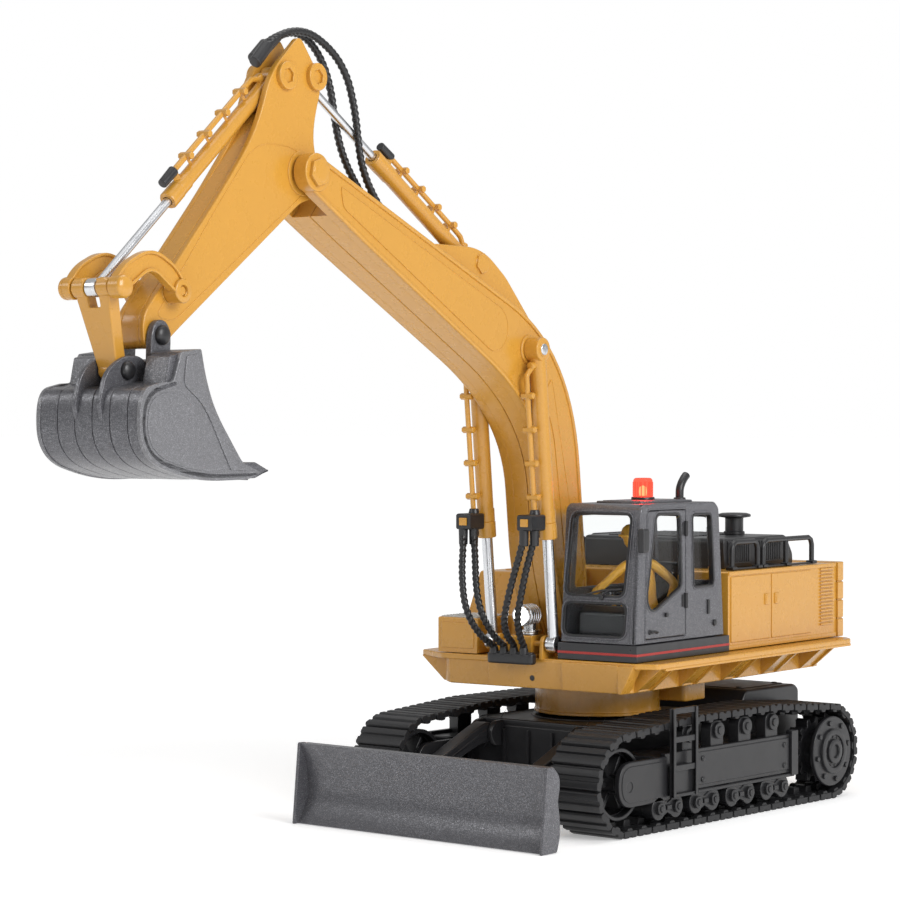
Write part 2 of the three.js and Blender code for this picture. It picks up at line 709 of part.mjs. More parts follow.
// ---------------------------------------------------------------- cab
const CAB = { right: 19.4, left: 65.5, front: -65.2, rear: 23.2, floor: 94.9, roof: 166.4, wall: 2 };
const CAB_PROFILE = [
  [CAB.front, CAB.floor], [-60.3, 164, 1.5], [-57, CAB.roof, 1], [13.5, CAB.roof, 1], [17.8, 163],
  [CAB.rear, CAB.floor],
];
const DOOR = { front: -56.4, rear: -16.6, low: 97, high: 163 };

function bandOutline(grow) {
  return [
    [CAB.right - 1.1 - grow, CAB.front - 1], [CAB.left + 1 + grow, CAB.front - 1],
    [CAB.left + 1 + grow, 27], [CAB.right - 1.1 - grow, 27],
  ];
}
function controlDesk() {
  const desk = plateX(
    [[-58, CAB.floor - 1], [-44, CAB.floor - 1], [-44, 108, 2], [-52, 114, 2], [-58, 110]],
    26,
    58,
  );
  const levers = [36, 48].map((x) => join(
    rod([x, -47, 108], [x, -41, 117], 0.9, { sides: 8 }),
    ball([x, -41, 117.5], 1.8),
  ));
  return join(desk, ...levers);
}
const cabBase = join(
  controlDesk(),
  cut(plateZ(bandOutline(0), FLOOR, CAB.floor - GAP), box(34, 52, -30, 0, 80, 92.6)),
);
add(upper, "cab_base", cabBase, BAND);

// Front face of the cab: a plane that leans back; lean(z) is its y.
const lean = (z) => CAB.front + ((z - CAB.floor) / (164 - CAB.floor)) * 4.9;
const WINDSCREEN = { left: 59.6, right: 24.6, low: 119.4, high: 161.8 };
const LOWER_SCREEN = { left: 58.6, right: 22.4, low: 98.6, high: 115.2 };

function frontSlab({ left, right, low, high }, grow, near, far) {
  const corners = [
    [lean(low - grow) + near, low - grow], [lean(high + grow) + near, high + grow],
    [lean(high + grow) + far, high + grow], [lean(low - grow) + far, low - grow],
  ];
  return plateX(corners, right - grow, left + grow);
}

const DOOR_WINDOW = [
  [-45.6, 161, 2.5], [-22.6, 160.6, 2.5], [-20.8, 123, 2], [-49.6, 110.6, 3], [-55, 116.5, 2],
];
const REAR_WINDOW = [[-9.4, 160, 2], [9.2, 159.9, 2], [12.4, 122.2, 2], [-8, 122, 2]];
const RIGHT_WINDOW = [[-50, 160, 2], [9, 160, 2], [12, 122, 2], [-54, 122, 2]];

function cabShell() {
  const outer = plateX(CAB_PROFILE, CAB.right, CAB.left);
  const inner = plateX(inset(CAB_PROFILE, CAB.wall), CAB.right + CAB.wall, CAB.left - CAB.wall);
  const openFloor = box(CAB.right + CAB.wall, CAB.left - CAB.wall, CAB.front + 2.4, CAB.rear - 2.4, 90, 99);
  const doorway = plateX(
    [[DOOR.front, DOOR.low], [DOOR.front + 2.6, DOOR.high], [DOOR.rear, DOOR.high], [DOOR.rear, DOOR.low]],
    CAB.left - 3,
    CAB.left + 1,
  );
  const rearGlass = plateX(REAR_WINDOW, CAB.left - 3, CAB.left + 1);
  const rightGlass = plateX(RIGHT_WINDOW, CAB.right - 1, CAB.right + 3);
  const backGlass = box(26, 59, 15, 26, 124, 158);
  const shell = cut(
    outer,
    inner,
    openFloor,
    doorway,
    rearGlass,
    rightGlass,
    backGlass,
    frontSlab(WINDSCREEN, 0, -3, 4),
    frontSlab(LOWER_SCREEN, 0, -3, 4),
  );
  const roofPanel = box(28, 57, -46, 6, CAB.roof - 0.5, CAB.roof + 1.2);
  const mirror = join(
    box(CAB.left - 1, 69.6, -59.4, -58.2, 150, 151.2),
    box(67.6, 69.2, -65, -57.6, 142, 154),
  );
  return join(shell, roofPanel, mirror);
}
add(upper, "cab_shell", cabShell(), GREY);

const glazing = { left: 61, right: 22.2, low: 97.6, high: 162.8 };
add(upper, "windscreen", frontSlab(glazing, 0, CAB.wall + 0.35, CAB.wall + 1.25), CLEAR);
const sideGlass = plateX(
  REAR_WINDOW.map(([y, z]) => [y + Math.sign(y) * 1.5, z + Math.sign(z - 140) * 1.5]),
  CAB.left - CAB.wall - 1.2,
  CAB.left - CAB.wall - GAP,
);
add(upper, "side_window", sideGlass, CLEAR);

const doorOutline = [
  [DOOR.front + GAP, DOOR.low + GAP], [DOOR.front + 2.6 + GAP, DOOR.high - GAP],
  [DOOR.rear - 0.5, DOOR.high - GAP], [DOOR.rear - 0.5, DOOR.low + GAP],
];
const doorHinges = [115.4, 153].map((z) => rod(
  [CAB.left + 0.9, DOOR.rear - 0.4, z - 4],
  [CAB.left + 0.9, DOOR.rear - 0.4, z + 4],
  0.9,
  { sides: 8 },
));
const door = join(
  cut(plateX(doorOutline, CAB.left - 1.8, CAB.left + 0.3), plateX(DOOR_WINDOW, CAB.left - 4, CAB.left + 2)),
  ...doorHinges,
  box(CAB.left + 0.2, CAB.left + 1.6, -38, -34, 108.4, 109.8),
);
add(upper, "cab_door", door, GREY);
const doorGlassOutline = [[-47.2, 162], [-21.2, 161.8], [-19.2, 121.8], [-50.6, 108.8], [-55, 115]];
add(upper, "door_window", plateX(doorGlassOutline, CAB.left - 3.1, CAB.left - 2.1), CLEAR);

const seat = join(
  box(32, 52, -22, 0, 94.9, 104),
  plateX([[-4, 100], [2, 100], [8, 134, 3], [2, 134, 3]], 33, 51),
);
add(upper, "driver_seat", seat, BLACK);

function driver() {
  const torso = plateX([[-17, 104.4], [-5, 104.4], [-12, 134, 4], [-24, 139, 4], [-25, 128]], 33, 46);
  const head = join(
    ball([38.5, -28, 148.5], 4.6),
    rod([38.5, -20, 134], [38.5, -27, 146], 2.6, { sides: 8 }),
  );
  const helmet = join(ball([38.5, -27.6, 151], 5.4, [1, 1.1, 0.9]), box(34.5, 42.5, -35.6, -29, 150.2, 151.2));
  const leftArm = sweep(
    [[44, -20, 135], [49.5, -17, 131], [55, -12, 124.5], [54.6, -13.6, 117], [53, -16, 111]], 2.2, 6, 4,
  );
  const rightArm = sweep(
    [[35, -20, 135], [31.5, -25, 131.6], [29.5, -31, 127.4], [28, -37, 123.4], [27, -43, 120.4]], 2.2, 6, 4,
  );
  const legs = [35.5, 43.5].map((x) => sweep(
    [[x, -9, 107.6], [x, -22, 110], [x, -34, 112.6], [x, -38, 108], [x, -38.6, 97.8]],
    3,
    6,
    4,
  ));
  return join(torso, head, helmet, leftArm, rightArm, ...legs);
}
add(upper, "driver_figure", driver(), YELLOW);

const beaconAt = [42, -21, CAB.roof + 1.2 + GAP];
const beaconProfile = [[0, 0], [6.2, 0], [6.2, 1.6], [5.4, 2], [5.2, 9.4], [4.4, 11], [0, 11.4]];
add(upper, "beacon", turned(beaconProfile, beaconAt, 14), RED);

const roofPipe = join(
  sweep(
    [[46, 9.6, CAB.roof + GAP], [46, 9.6, 172], [46, 10.6, 176], [46, 15, 180], [46, 17, 181]],
    2.2,
    8,
    8,
  ),
  rod([46, 9.6, CAB.roof + GAP], [46, 9.6, CAB.roof + 2.2], 3.4, { sides: 8 }),
);
add(upper, "roof_pipe", roofPipe, BLACK);

// ---------------------------------------------------------------- lamp and hose grommet on the deck
function workLamp() {
  const [x, z] = [BOOM_X + 0.5, 108];
  const stub = turned([[0, 0], [5.6, 0], [5.6, 1.6], [4, 2.2], [4, 8], [0, 8]], [x, -58, 97 + GAP], 14);
  const rings = [-64, -59].map((y) => rod([x, y, z - 0.8], [x, y + 3, z - 0.8], 6, { sides: 12 }));
  const core = rod([x, -66.4, z - 0.8], [x, -53, z - 0.8], 5.1, { sides: 12 });
  const lens = ball([x, -66.2, z - 0.8], 4.6, [1, 0.5, 1]);
  return join(stub, core, ...rings, lens);
}
add(upper, "work_lamp", workLamp(), STEEL);

const grommetOutline = [[-21, -75.4, 3.4], [8, -75.4, 3.4], [8, -70, 1.5], [-21, -70, 1.5]];
add(upper, "hose_grommet", plateZ(grommetOutline, 82.4, 88.4), RUBBER);

// ---------------------------------------------------------------- boom
const boomOutline = [
  [-254, 331.6],
  [-38, 247.3, 62],
  [-22.4, 112],
  [-28, 93],
  [-41, 93],
  [-48, 110],
  [-56, 134],
  [-64.6, 212.7, 60],
  [-222, 294.4],
  [-262.4, 316.6],
];
const bracketOutline = [[-160, 293], [-154, 297, 3], [-113, 297, 12], [-92, 283], [-60, 255], [-90, 262]];
const widen = (p) => p.setX(BOOM_X + (p.x - BOOM_X) * (1 + BOOM_TAPER * (-60 - p.y)));

function boomHalf(side) {
  const span = (near, far) => [BOOM_X + side * near, BOOM_X + side * far].sort((a, b) => a - b);
  const plateAt = (points, near, far, bent = true) => plateX(
    points,
    ...span(near, far),
    { segments: 4, bend: bent ? widen : undefined },
  );
  const rodAt = (at, near, far, radius, options) => rodX(at, ...span(near, far), radius, options);
  const hollow = cut(
    plateAt(inset(boomOutline, 2.2), -1, BOOM_HALF - 2.2),
    rodX(STICK_PIVOT, -60, 60, 30, { sides: 12 }),
    rodX(FOOT, -60, 60, 17),
    rodX(BOOM_CYLINDER_TOP, -60, 60, 5.5),
  );
  const body = cut(plateAt(boomOutline, 0.15, BOOM_HALF), hollow);
  const bracket = plateAt(bracketOutline, 5.4, 8.6, false);
  const bosses = [
    rodAt(STICK_PIVOT, 10, 17.4, 9, { sides: 12 }),
    rodAt(FOOT, 2, 14.4, 11.5, { sides: 12 }),
    rodAt(ARM_CYLINDER_BASE, 5.4, 9.6, 6.6, { sides: 6 }),
  ];
  const forkGap = rodX(STICK_PIVOT, BOOM_X - 8.7, BOOM_X + 8.7, 24, { sides: 12 });
  const bores = [
    rodX(STICK_PIVOT, -60, 60, 3.3),
    rodX(FOOT, -60, 60, 3.3),
    rodX(ARM_CYLINDER_BASE, -60, 60, 2.3),
    rodX(BOOM_CYLINDER_TOP, -60, 60, 2.3),
  ];
  const barrelSlot = rodX(ARM_CYLINDER_BASE, BOOM_X - 5.2, BOOM_X + 5.2, 8.5);
  return cut(join(body, bracket, ...bosses), forkGap, barrelSlot, ...bores);
}
add(upper, "boom_half_left", boomHalf(1), YELLOW);
add(upper, "boom_half_right", boomHalf(-1), YELLOW);
add(upper, "boom_foot_pin", footPin, YELLOW);

function hexPin(at, reach, radius, headRadius, headDepth) {
  return join(
    rodX(at, BOOM_X - reach, BOOM_X + reach, radius, { sides: 12 }),
    rodX(at, BOOM_X + reach - 0.1, BOOM_X + reach + headDepth, headRadius, { sides: 6 }),
    rodX(at, BOOM_X - reach - headDepth, BOOM_X - reach + 0.1, headRadius, { sides: 6 }),
  );
}
add(upper, "stick_pin", hexPin(STICK_PIVOT, 17.7, 3, 6.6, 2), YELLOW);

// ---------------------------------------------------------------- hydraulic cylinders
const along = (from, to, distance) => {
  const a = new THREE.Vector2(...from);
  const b = new THREE.Vector2(...to);
  return a.add(b.sub(a).setLength(distance)).toArray();
};
const at3 = (x, [y, z]) => [x, y, z];
const COLLAR = 0.6; // how far an end collar stands proud of its barrel

// A cylinder barrel with its eye, bore, end collar, and the feed pipe that is moulded along one side.
function barrel({ x, from, to, length, radius, eye, eyeHalf, pin, bore, boreStart, pipeSide }) {
  const tube = rod(at3(x, from), at3(x, along(from, to, length)), radius, { sides: 8 });
  const collar = rod(
    at3(x, along(from, to, length - 9)),
    at3(x, along(from, to, length)),
    radius + COLLAR,
    { sides: 8 },
  );
  const eyeRing = rodX(from, x - eyeHalf, x + eyeHalf, eye, { sides: 8 });
  const hollow = rod(
    at3(x, along(from, to, boreStart)),
    at3(x, along(from, to, length + 3)),
    bore,
    { sides: 8 },
  );
  const direction = new THREE.Vector2(to[0] - from[0], to[1] - from[1]).normalize();
  const aside = direction.clone().rotateAround(new THREE.Vector2(), (pipeSide * Math.PI) / 2);
  const pipeAt = (distance, off) => {
    const [y, z] = along(from, to, distance);
    return [x, y + aside.x * off, z + aside.y * off];
  };
  const offset = radius + 3.4;
  const pipe = sweep(
    [pipeAt(9, radius - 0.6), pipeAt(11, offset), pipeAt(16, offset), pipeAt(length - 12, offset)], 1.3, 6,
    5,
  );
  const clamps = Array.from({ length: 3 }, (_, i) => {
    const distance = 20 + (i * (length - 36)) / 2;
    return rod(pipeAt(distance, radius - 1), pipeAt(distance, offset + 1.6), 1.2, { sides: 4 });
  });
  return cut(
    join(tube, collar, eyeRing, pipe, ...clamps),
    hollow,
    rodX(from, x - 20, x + 20, pin, { sides: 8 }),
  );
}

function pistonRod({ x, from, to, start, radius, eye, eyeHalf, pin }) {
  const shaft = rod(at3(x, along(from, to, start)), at3(x, to), radius, { sides: 8 });
  const ring = rodX(to, x - eyeHalf, x + eyeHalf, eye, { sides: 8 });
  return cut(join(shaft, ring), rodX(to, x - 20, x + 20, pin, { sides: 8 }));
}

for (const [side, sign] of [["left", 1], ["right", -1]]) {
  const x = BOOM_X + sign * CYLINDER_SPREAD;
  const line = { x, from: BOOM_CYLINDER_TOP, to: BOOM_CYLINDER_FOOT };
  const tube = barrel({
    ...line,
    length: 98.5,
    radius: 4.4,
    eye: 6,
    eyeHalf: 4.2,
    pin: 2.3,
    bore: 3.2,
    boreStart: 11,
    pipeSide: -1,
  });
  add(upper, `boom_cylinder_barrel_${side}`, tube, YELLOW);
  add(
    upper,
    `boom_cylinder_rod_${side}`,
    pistonRod({ ...line, start: 56, radius: 2.9, eye: 4.6, eyeHalf: 2.8, pin: 2.9 }),
    CHROME,
  );
}
const topPin = join(
  rodX(BOOM_CYLINDER_TOP, BOOM_X - 23.9, BOOM_X + 23.9, 2, { sides: 12 }),
  rodX(BOOM_CYLINDER_TOP, BOOM_X + 23.8, BOOM_X + 24.8, 3.6),
  rodX(BOOM_CYLINDER_TOP, BOOM_X - 24.8, BOOM_X - 23.8, 3.6),
);
add(upper, "boom_cylinder_pin", topPin, STEEL);

const armLine = { x: BOOM_X, from: ARM_CYLINDER_BASE, to: ARM_CYLINDER_END };
add(
  upper,
  "arm_cylinder_barrel",
  barrel({
    ...armLine,
    length: 93,
    radius: 4,
    eye: 5.6,
    eyeHalf: 4.4,
    pin: 2,
    bore: 2.4,
    boreStart: 11,
    pipeSide: -1,
  }),
  YELLOW,
);
add(
  upper,
  "arm_cylinder_rod",
  pistonRod({ ...armLine, start: 50, radius: 2.1, eye: 4.6, eyeHalf: 2.6, pin: 3.4 }),
  CHROME,
);

const bucketLine = { x: BOOM_X, from: BUCKET_CYLINDER_BASE, to: LINK_TOP };
add(
  upper,
  "bucket_cylinder_barrel",
  barrel({
    ...bucketLine,
    length: 95,
    radius: 3.7,
    eye: 5,
    eyeHalf: 3.6,
    pin: 2,
    bore: 2.3,
    boreStart: 10,
    pipeSide: -1,
  }),
  YELLOW,
);
add(
  upper,
  "bucket_cylinder_rod",
  pistonRod({ ...bucketLine, start: 48, radius: 2, eye: 4.4, eyeHalf: 3, pin: 2.9 }),
  CHROME,
);

// ---------------------------------------------------------------- stick
const stickOutline = [
  [-258.4, 388, 3],
  [-241.6, 368, 5],
  [-249.6, 343, 10],
  [-244.8, 327, 4],
  [-246, 313.6, 5],
  [-258, 310],
  [-345, 247.4],
  [-353.9, 240.2, 2],
  [-364.8, 239.8, 6],
  [-366, 254, 5],
  [-350.6, 271],
  [-313.8, 311.4, 8],
  [-290, 340, 14],
  [-279, 369, 8],
];
function stick() {
  const body = plateX(stickOutline, BOOM_X - STICK_HALF, BOOM_X + STICK_HALF, { segments: 2 });
  const heads = [BUCKET_CYLINDER_BASE, ARM_CYLINDER_END].flatMap((at) =>
    [[STICK_HALF - 0.2, STICK_HALF + 2.4], [-STICK_HALF - 2.4, -STICK_HALF + 0.2]].map(([x0, x1]) =>
      rodX(at, BOOM_X + x0, BOOM_X + x1, 6.4, { sides: 12 }),
    ),
  );
  const pins = [
    rodX(BUCKET_CYLINDER_BASE, BOOM_X - 7, BOOM_X + 7, 1.7, { sides: 8 }),
    rodX(ARM_CYLINDER_END, BOOM_X - 7, BOOM_X + 7, 1.1, { sides: 8 }),
  ];
  const slots = [
    join(
      rodX(BUCKET_CYLINDER_BASE, BOOM_X - 4.6, BOOM_X + 4.6, 7),
      plateX([[-269, 375], [-269, 361], [-300, 330], [-310, 372], [-282, 392]], BOOM_X - 4.6, BOOM_X + 4.6),
    ),
    join(
      rodX(ARM_CYLINDER_END, BOOM_X - 3.4, BOOM_X + 3.4, 7),
      plateX([[-247, 376], [-251, 362], [-246, 342], [-225, 340], [-225, 376]], BOOM_X - 3.4, BOOM_X + 3.4),
    ),
  ];
  const bores = [
    rodX(STICK_PIVOT, -60, 60, 3.3),
    rodX(ROCKER_PIVOT, -60, 60, 2.4),
    rodX(BUCKET_PIVOT, -60, 60, 2.9),
  ];
  return cut(join(cut(join(body, ...heads), ...slots), ...pins), ...bores);
}
add(upper, "stick", stick(), YELLOW);

// ---------------------------------------------------------------- bucket linkage
function rockerLinks() {
  const [a, j] = [ROCKER_PIVOT, LINK_TOP];
  const arch = [
    [a[0] + 1, a[1] - 4.6],
    [a[0] + 4.6, a[1] + 1],
    [a[0] - 4, a[1] + 11, 5],
    [(a[0] + j[0]) / 2, a[1] + 18.4, 9],
    [j[0] + 2, j[1] + 10, 5],
    [j[0] - 4.6, j[1] + 1],
    [j[0] - 1, j[1] - 4.6],
    [j[0] + 9, j[1] + 2, 4],
    [(a[0] + j[0]) / 2, a[1] + 9.4, 8],
    [a[0] - 9, a[1] + 2, 4],
  ];
  const parts = [1, -1].flatMap((side) => {
    const span = (near, far) => [BOOM_X + side * near, BOOM_X + side * far].sort((p, q) => p - q);
    return [
      plateX(arch, ...span(11.2, 15.2), { segments: 2 }),
      rodX(a, ...span(8.4, 15.8), 5.2, { sides: 8 }),
      rodX(j, ...span(11.2, 15.8), 5, { sides: 8 }),
      rodX(j, ...span(15.7, 18.6), 4, { sides: 8 }),
    ];
  });
  const pins = [
    rodX(a, BOOM_X - 15, BOOM_X + 15, 2, { sides: 8 }),
    rodX(j, BOOM_X - 15, BOOM_X + 15, 1.1, { sides: 8 }),
  ];
  return join(...parts, ...pins);
}
add(upper, "rocker_links", rockerLinks(), YELLOW);

function hLink() {
  const side = [
    [LINK_TOP[0] - 3.4, LINK_TOP[1] - 1],
    [LINK_BOTTOM[0] - 3.6, LINK_BOTTOM[1]],
    [LINK_BOTTOM[0] + 3.2, LINK_BOTTOM[1]],
    [LINK_TOP[0] + 4.6, LINK_TOP[1] - 1],
  ];
  const front = [
    [LINK_BOTTOM[1] - 6, BOOM_X - 5.2],
    [LINK_BOTTOM[1] - 6, BOOM_X + 5.2],
    [LINK_BOTTOM[1] + 4, BOOM_X + 5.2],
    [LINK_TOP[1] - 8, BOOM_X + 10.6],
    [LINK_TOP[1] + 8, BOOM_X + 10.6],
    [LINK_TOP[1] + 8, BOOM_X - 10.6],
    [LINK_TOP[1] - 8, BOOM_X - 10.6],
    [LINK_BOTTOM[1] + 4, BOOM_X - 5.2],
  ];
  const web = plateX(side, BOOM_X - 12, BOOM_X + 12).intersect(plateY(front, -400, -360));
  const lugs = [[3.6, 10.6], [-10.6, -3.6]].map(([x0, x1]) => rodX(
    LINK_TOP,
    BOOM_X + x0,
    BOOM_X + x1,
    4.4,
    { sides: 18 },
  ));
  const toe = rodX(LINK_BOTTOM, BOOM_X - 5.2, BOOM_X + 5.2, 3.8, { sides: 12 });
  const rodSlot = plateX([[-398, 258], [-376, 258], [-376, 275], [-398, 275]], BOOM_X - 3.6, BOOM_X + 3.6);
  const bores = [
    rodX(LINK_TOP, -60, 60, 2.9, { sides: 8 }),
    rodX(LINK_BOTTOM, -60, 60, 2.5, { sides: 12 }),
  ];
  return cut(join(cut(web, rodSlot), ...lugs, toe), ...bores);
}
add(upper, "h_link", hLink(), YELLOW);

// ---------------------------------------------------------------- bucket
const bucketOutline = [
  [-366, 238.2],
  [-353, 239.8],
  [-349.8, 226.6, 3],
  [-343.8, 212.8, 5],
  [-326, 190.8],
  [-312.4, 186],
  [-321, 183.8],
  [-356, 183.4, 14],
  [-390.6, 193, 15],
  [-391, 221, 12],
  [-371, 225.4],
];
const bucketHollow = [
  [-363, 236],
  [-340, 242],
  [-300, 196],
  [-318, 186],
  [-354, 185.6, 12],
  [-388.4, 194.6, 13],
  [-388.4, 219, 10],
  [-368, 223.4],
];
function bucket() {
  const w = BUCKET_HALF;
  const hull = plateX(bucketOutline, BOOM_X - w, BOOM_X + w, { segments: 3 });
  const hollow = plateX(bucketHollow, BOOM_X - w + 2, BOOM_X + w - 2, { segments: 3 });
  const linkPocket = box(BOOM_X - 13, BOOM_X + 13, -372, -363.6, 225.6, 245);
  const stickSwing = rodX(
    BUCKET_PIVOT,
    BOOM_X - STICK_HALF - 0.4,
    BOOM_X + STICK_HALF + 0.4,
    7.4,
    { sides: 18 },
  );
  const stickNotch = box(BOOM_X - STICK_HALF - 0.4, BOOM_X + STICK_HALF + 0.4, -358.5, -348, 236, 245);
  const outerEars = [[8.5, 12], [-12, -8.5]].map(([x0, x1]) =>
    join(
      rodX(BUCKET_PIVOT, BOOM_X + x0, BOOM_X + x1, 6.4, { sides: 12 }),
      plateX(
        [
          [BUCKET_PIVOT[0] - 6.6, 236],
          [BUCKET_PIVOT[0] + 5.2, 238.6],
          [BUCKET_PIVOT[0] + 6.3, 246],
          [BUCKET_PIVOT[0] - 6.3, 246],
        ],
        BOOM_X + x0,
        BOOM_X + x1,
      ),
    ),
  );
  const innerEars = [[6, 8.4], [-8.4, -6]].map(([x0, x1]) =>
    plateX(
      [[-361, 236], [-376, 236.6, 6], [-390.4, 226, 6], [-390.4, 214], [-380, 214], [-361, 224]],
      BOOM_X + x0,
      BOOM_X + x1,
    ),
  );
  const pins = [
    rodX(BUCKET_PIVOT, BOOM_X - 9, BOOM_X + 9, 2.5, { sides: 8 }),
    rodX(LINK_BOTTOM, BOOM_X - 8, BOOM_X + 8, 1.5, { sides: 8 }),
  ];
  const teeth = [-24, -12, 0, 12, 24].map((x) =>
    plateX(
      [[-324, 185], [-324, 190], [-316, 190.4], [-307.6, 186.6], [-318, 184.2]],
      BOOM_X + x - 3.6,
      BOOM_X + x + 3.6,
    ),
  );
  return join(
    cut(hull, hollow, linkPocket, stickSwing, stickNotch),
    ...outerEars,
    ...innerEars,
    ...pins,
    ...teeth,
  );
}
add(upper, "bucket", bucket(), GREY);

// ---------------------------------------------------------------- hydraulic hoses
const HOSE_RADIUS = 1.7;
const HOSES = {
  hose_left_outer: [
    [12.4, -88.6, 150], [10.3, -88.8, 142], [7.5, -88.7, 134], [4.8, -88.6, 126], [2.6, -88.8, 118],
    [0.6, -88.4, 111], [-1.4, -86.5, 104.5], [-3.2, -81.5, 98], [-4, -76, 94], [-4.4, -72.8, 91],
  ],
  hose_left_inner: [
    [16.2, -84.6, 150], [14, -84.6, 142], [11.6, -84.8, 134], [9.6, -85, 126], [7.8, -85, 118],
    [6, -84.6, 111], [4.4, -82.6, 104.5], [3, -78.8, 98], [2.2, -75.4, 94], [1.8, -72.8, 91],
  ],
  hose_right_outer: [
    [-26, -88.6, 150], [-23.8, -92, 142], [-22.4, -94.6, 134], [-21.2, -96, 126], [-20.2, -96.2, 118],
    [-19.3, -94.8, 111], [-18.4, -91.4, 104.5], [-17.3, -85.6, 98], [-16.8, -79.4, 94], [-16.6, -73.4, 91],
  ],
  hose_right_inner: [
    [-22.2, -84.6, 150], [-19.8, -87, 142], [-18, -89, 134], [-16.6, -90.4, 126], [-15.4, -90.6, 118],
    [-14.2, -89.4, 111], [-13, -86.6, 104.5], [-11.8, -81.6, 98], [-11, -77, 94], [-10.6, -73, 91],
  ],
};
for (const [name, route] of Object.entries(HOSES)) add(
  upper,
  name,
  sweep(route, HOSE_RADIUS, 6, 12),
  RUBBER,
);

// ---------------------------------------------------------------- the part stands on z = 0, centred in plan
part.updateMatrixWorld(true);
const bounds = new THREE.Box3().setFromObject(part, true);
const middle = bounds.getCenter(new THREE.Vector3());
part.children.forEach((child) => child.position.add(
  new THREE.Vector3(-middle.x, -middle.y, -bounds.min.z),
));
part.updateMatrixWorld(true);

export default part;
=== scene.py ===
# Visual model of the toy excavator. Shapes are drawn in millimetres, in the same two frames as the CAD:
# the undercarriage square to the row frame, and the upper structure turned by its rest angle about the
# slew axis.
import json
import math

import bmesh
import bpy
from mathutils import Matrix, Vector


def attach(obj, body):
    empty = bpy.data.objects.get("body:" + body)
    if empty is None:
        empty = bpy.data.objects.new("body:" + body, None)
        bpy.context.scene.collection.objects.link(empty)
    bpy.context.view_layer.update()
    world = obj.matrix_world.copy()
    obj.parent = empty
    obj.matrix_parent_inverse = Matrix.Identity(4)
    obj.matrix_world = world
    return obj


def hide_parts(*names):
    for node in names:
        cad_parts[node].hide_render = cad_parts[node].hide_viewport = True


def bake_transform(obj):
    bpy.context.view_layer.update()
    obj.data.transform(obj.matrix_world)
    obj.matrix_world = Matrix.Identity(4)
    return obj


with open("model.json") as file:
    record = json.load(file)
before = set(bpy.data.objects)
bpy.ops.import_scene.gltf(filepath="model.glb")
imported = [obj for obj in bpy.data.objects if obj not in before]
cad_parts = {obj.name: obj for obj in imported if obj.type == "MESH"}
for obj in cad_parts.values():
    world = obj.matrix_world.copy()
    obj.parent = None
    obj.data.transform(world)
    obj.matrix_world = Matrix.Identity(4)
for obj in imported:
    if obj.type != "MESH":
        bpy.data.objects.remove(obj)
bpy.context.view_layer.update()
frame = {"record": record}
record = frame["record"]

MM = 0.001
SLEW_REST = math.radians(4)
slew_joint = next(j for j in record["behaviour"]["joints"] if j["name"] == "slew_turn")
SLEW_AXIS = Vector((slew_joint["pos_m"][0], slew_joint["pos_m"][1], 0))
LOWER = Matrix.Translation(SLEW_AXIS) @ Matrix.Scale(MM, 4)
UPPER = Matrix.Translation(SLEW_AXIS) @ Matrix.Rotation(SLEW_REST, 4, "Z") @ Matrix.Scale(MM, 4)

# ------------------------------------------------------------------ camera
HEADING = math.radians(40.06)
TILT = math.radians(0.485)
CAMERA_FROM_SLEW = Vector((0.8816, -1.1729, 0.206))
LENS_MM = 108.0

forward = Vector((-math.sin(HEADING) * math.cos(TILT), math.cos(HEADING) * math.cos(TILT), -math.sin(TILT)))
right = Vector((math.cos(HEADING), math.sin(HEADING), 0))
camera_data = bpy.data.cameras.new("camera")
camera_data.lens = LENS_MM
camera_data.sensor_width = 36
camera_data.clip_start = 0.05
camera = bpy.data.objects.new("camera", camera_data)
axes = Matrix((right, right.cross(forward), -forward)).transposed().to_4x4()
camera.matrix_world = Matrix.Translation(SLEW_AXIS + CAMERA_FROM_SLEW) @ axes
bpy.context.collection.objects.link(camera)
bpy.context.scene.camera = camera


# ------------------------------------------------------------------ shape tools
def rounded(points, steps=6):
    """Expands [u, v] and [u, v, reach] corners into a closed outline.

    reach is how far a curve runs back from a corner.
    """
    out = []
    for i, point in enumerate(points):
        corner = Vector(point[:2])
        if len(point) < 3 or not point[2]:
            out.append(corner)
            continue
        ends = []
        for other in (points[i - 1], points[(i + 1) % len(points)]):
            away = Vector(other[:2]) - corner
            ends.append(corner + away.normalized() * min(point[2], away.length * 0.5))
        for k in range(steps + 1):
            t = k / steps
            out.append((1 - t) ** 2 * ends[0] + 2 * t * (1 - t) * corner + t * t * ends[1])
    return out


def inset(points, wall):
    """The same outline moved inwards."""
    area = sum(p[0] * q[1] - q[0] * p[1] for p, q in zip(points, points[1:] + points[:1]))
    side = 1 if area > 0 else -1
    out = []
    for i, point in enumerate(points):
        corner = Vector(point[:2])
        before = corner - Vector(points[i - 1][:2])
        after = Vector(points[(i + 1) % len(points)][:2]) - corner
        n1 = Vector((-before.y, before.x)).normalized() * side
        n2 = Vector((-after.y, after.x)).normalized() * side
        mitre = n1 + n2
        reach = wall / max(mitre.length_squared / 2, 0.3)
        moved = corner + mitre * reach
        out.append([moved.x, moved.y, max(0, (point[2] if len(point) > 2 else 0) - wall)])
    return out


def rect(u0, u1, v0, v1, *reach, swap=False):
    """The corners of a rectangle, each with its reach if one is given; swap goes round the other way."""
    corners = [[u0, v0, *reach], [u1, v0, *reach], [u1, v1, *reach], [u0, v1, *reach]]
    return [corners[k] for k in (0, 3, 2, 1)] if swap else corners


def circle(centre, radius, sides=32, phase=0.0):
    step = 2 * math.pi / sides
    return [
        [centre[0] + radius * math.cos(phase + i * step), centre[1] + radius * math.sin(phase + i * step)]
        for i in range(sides)
    ]


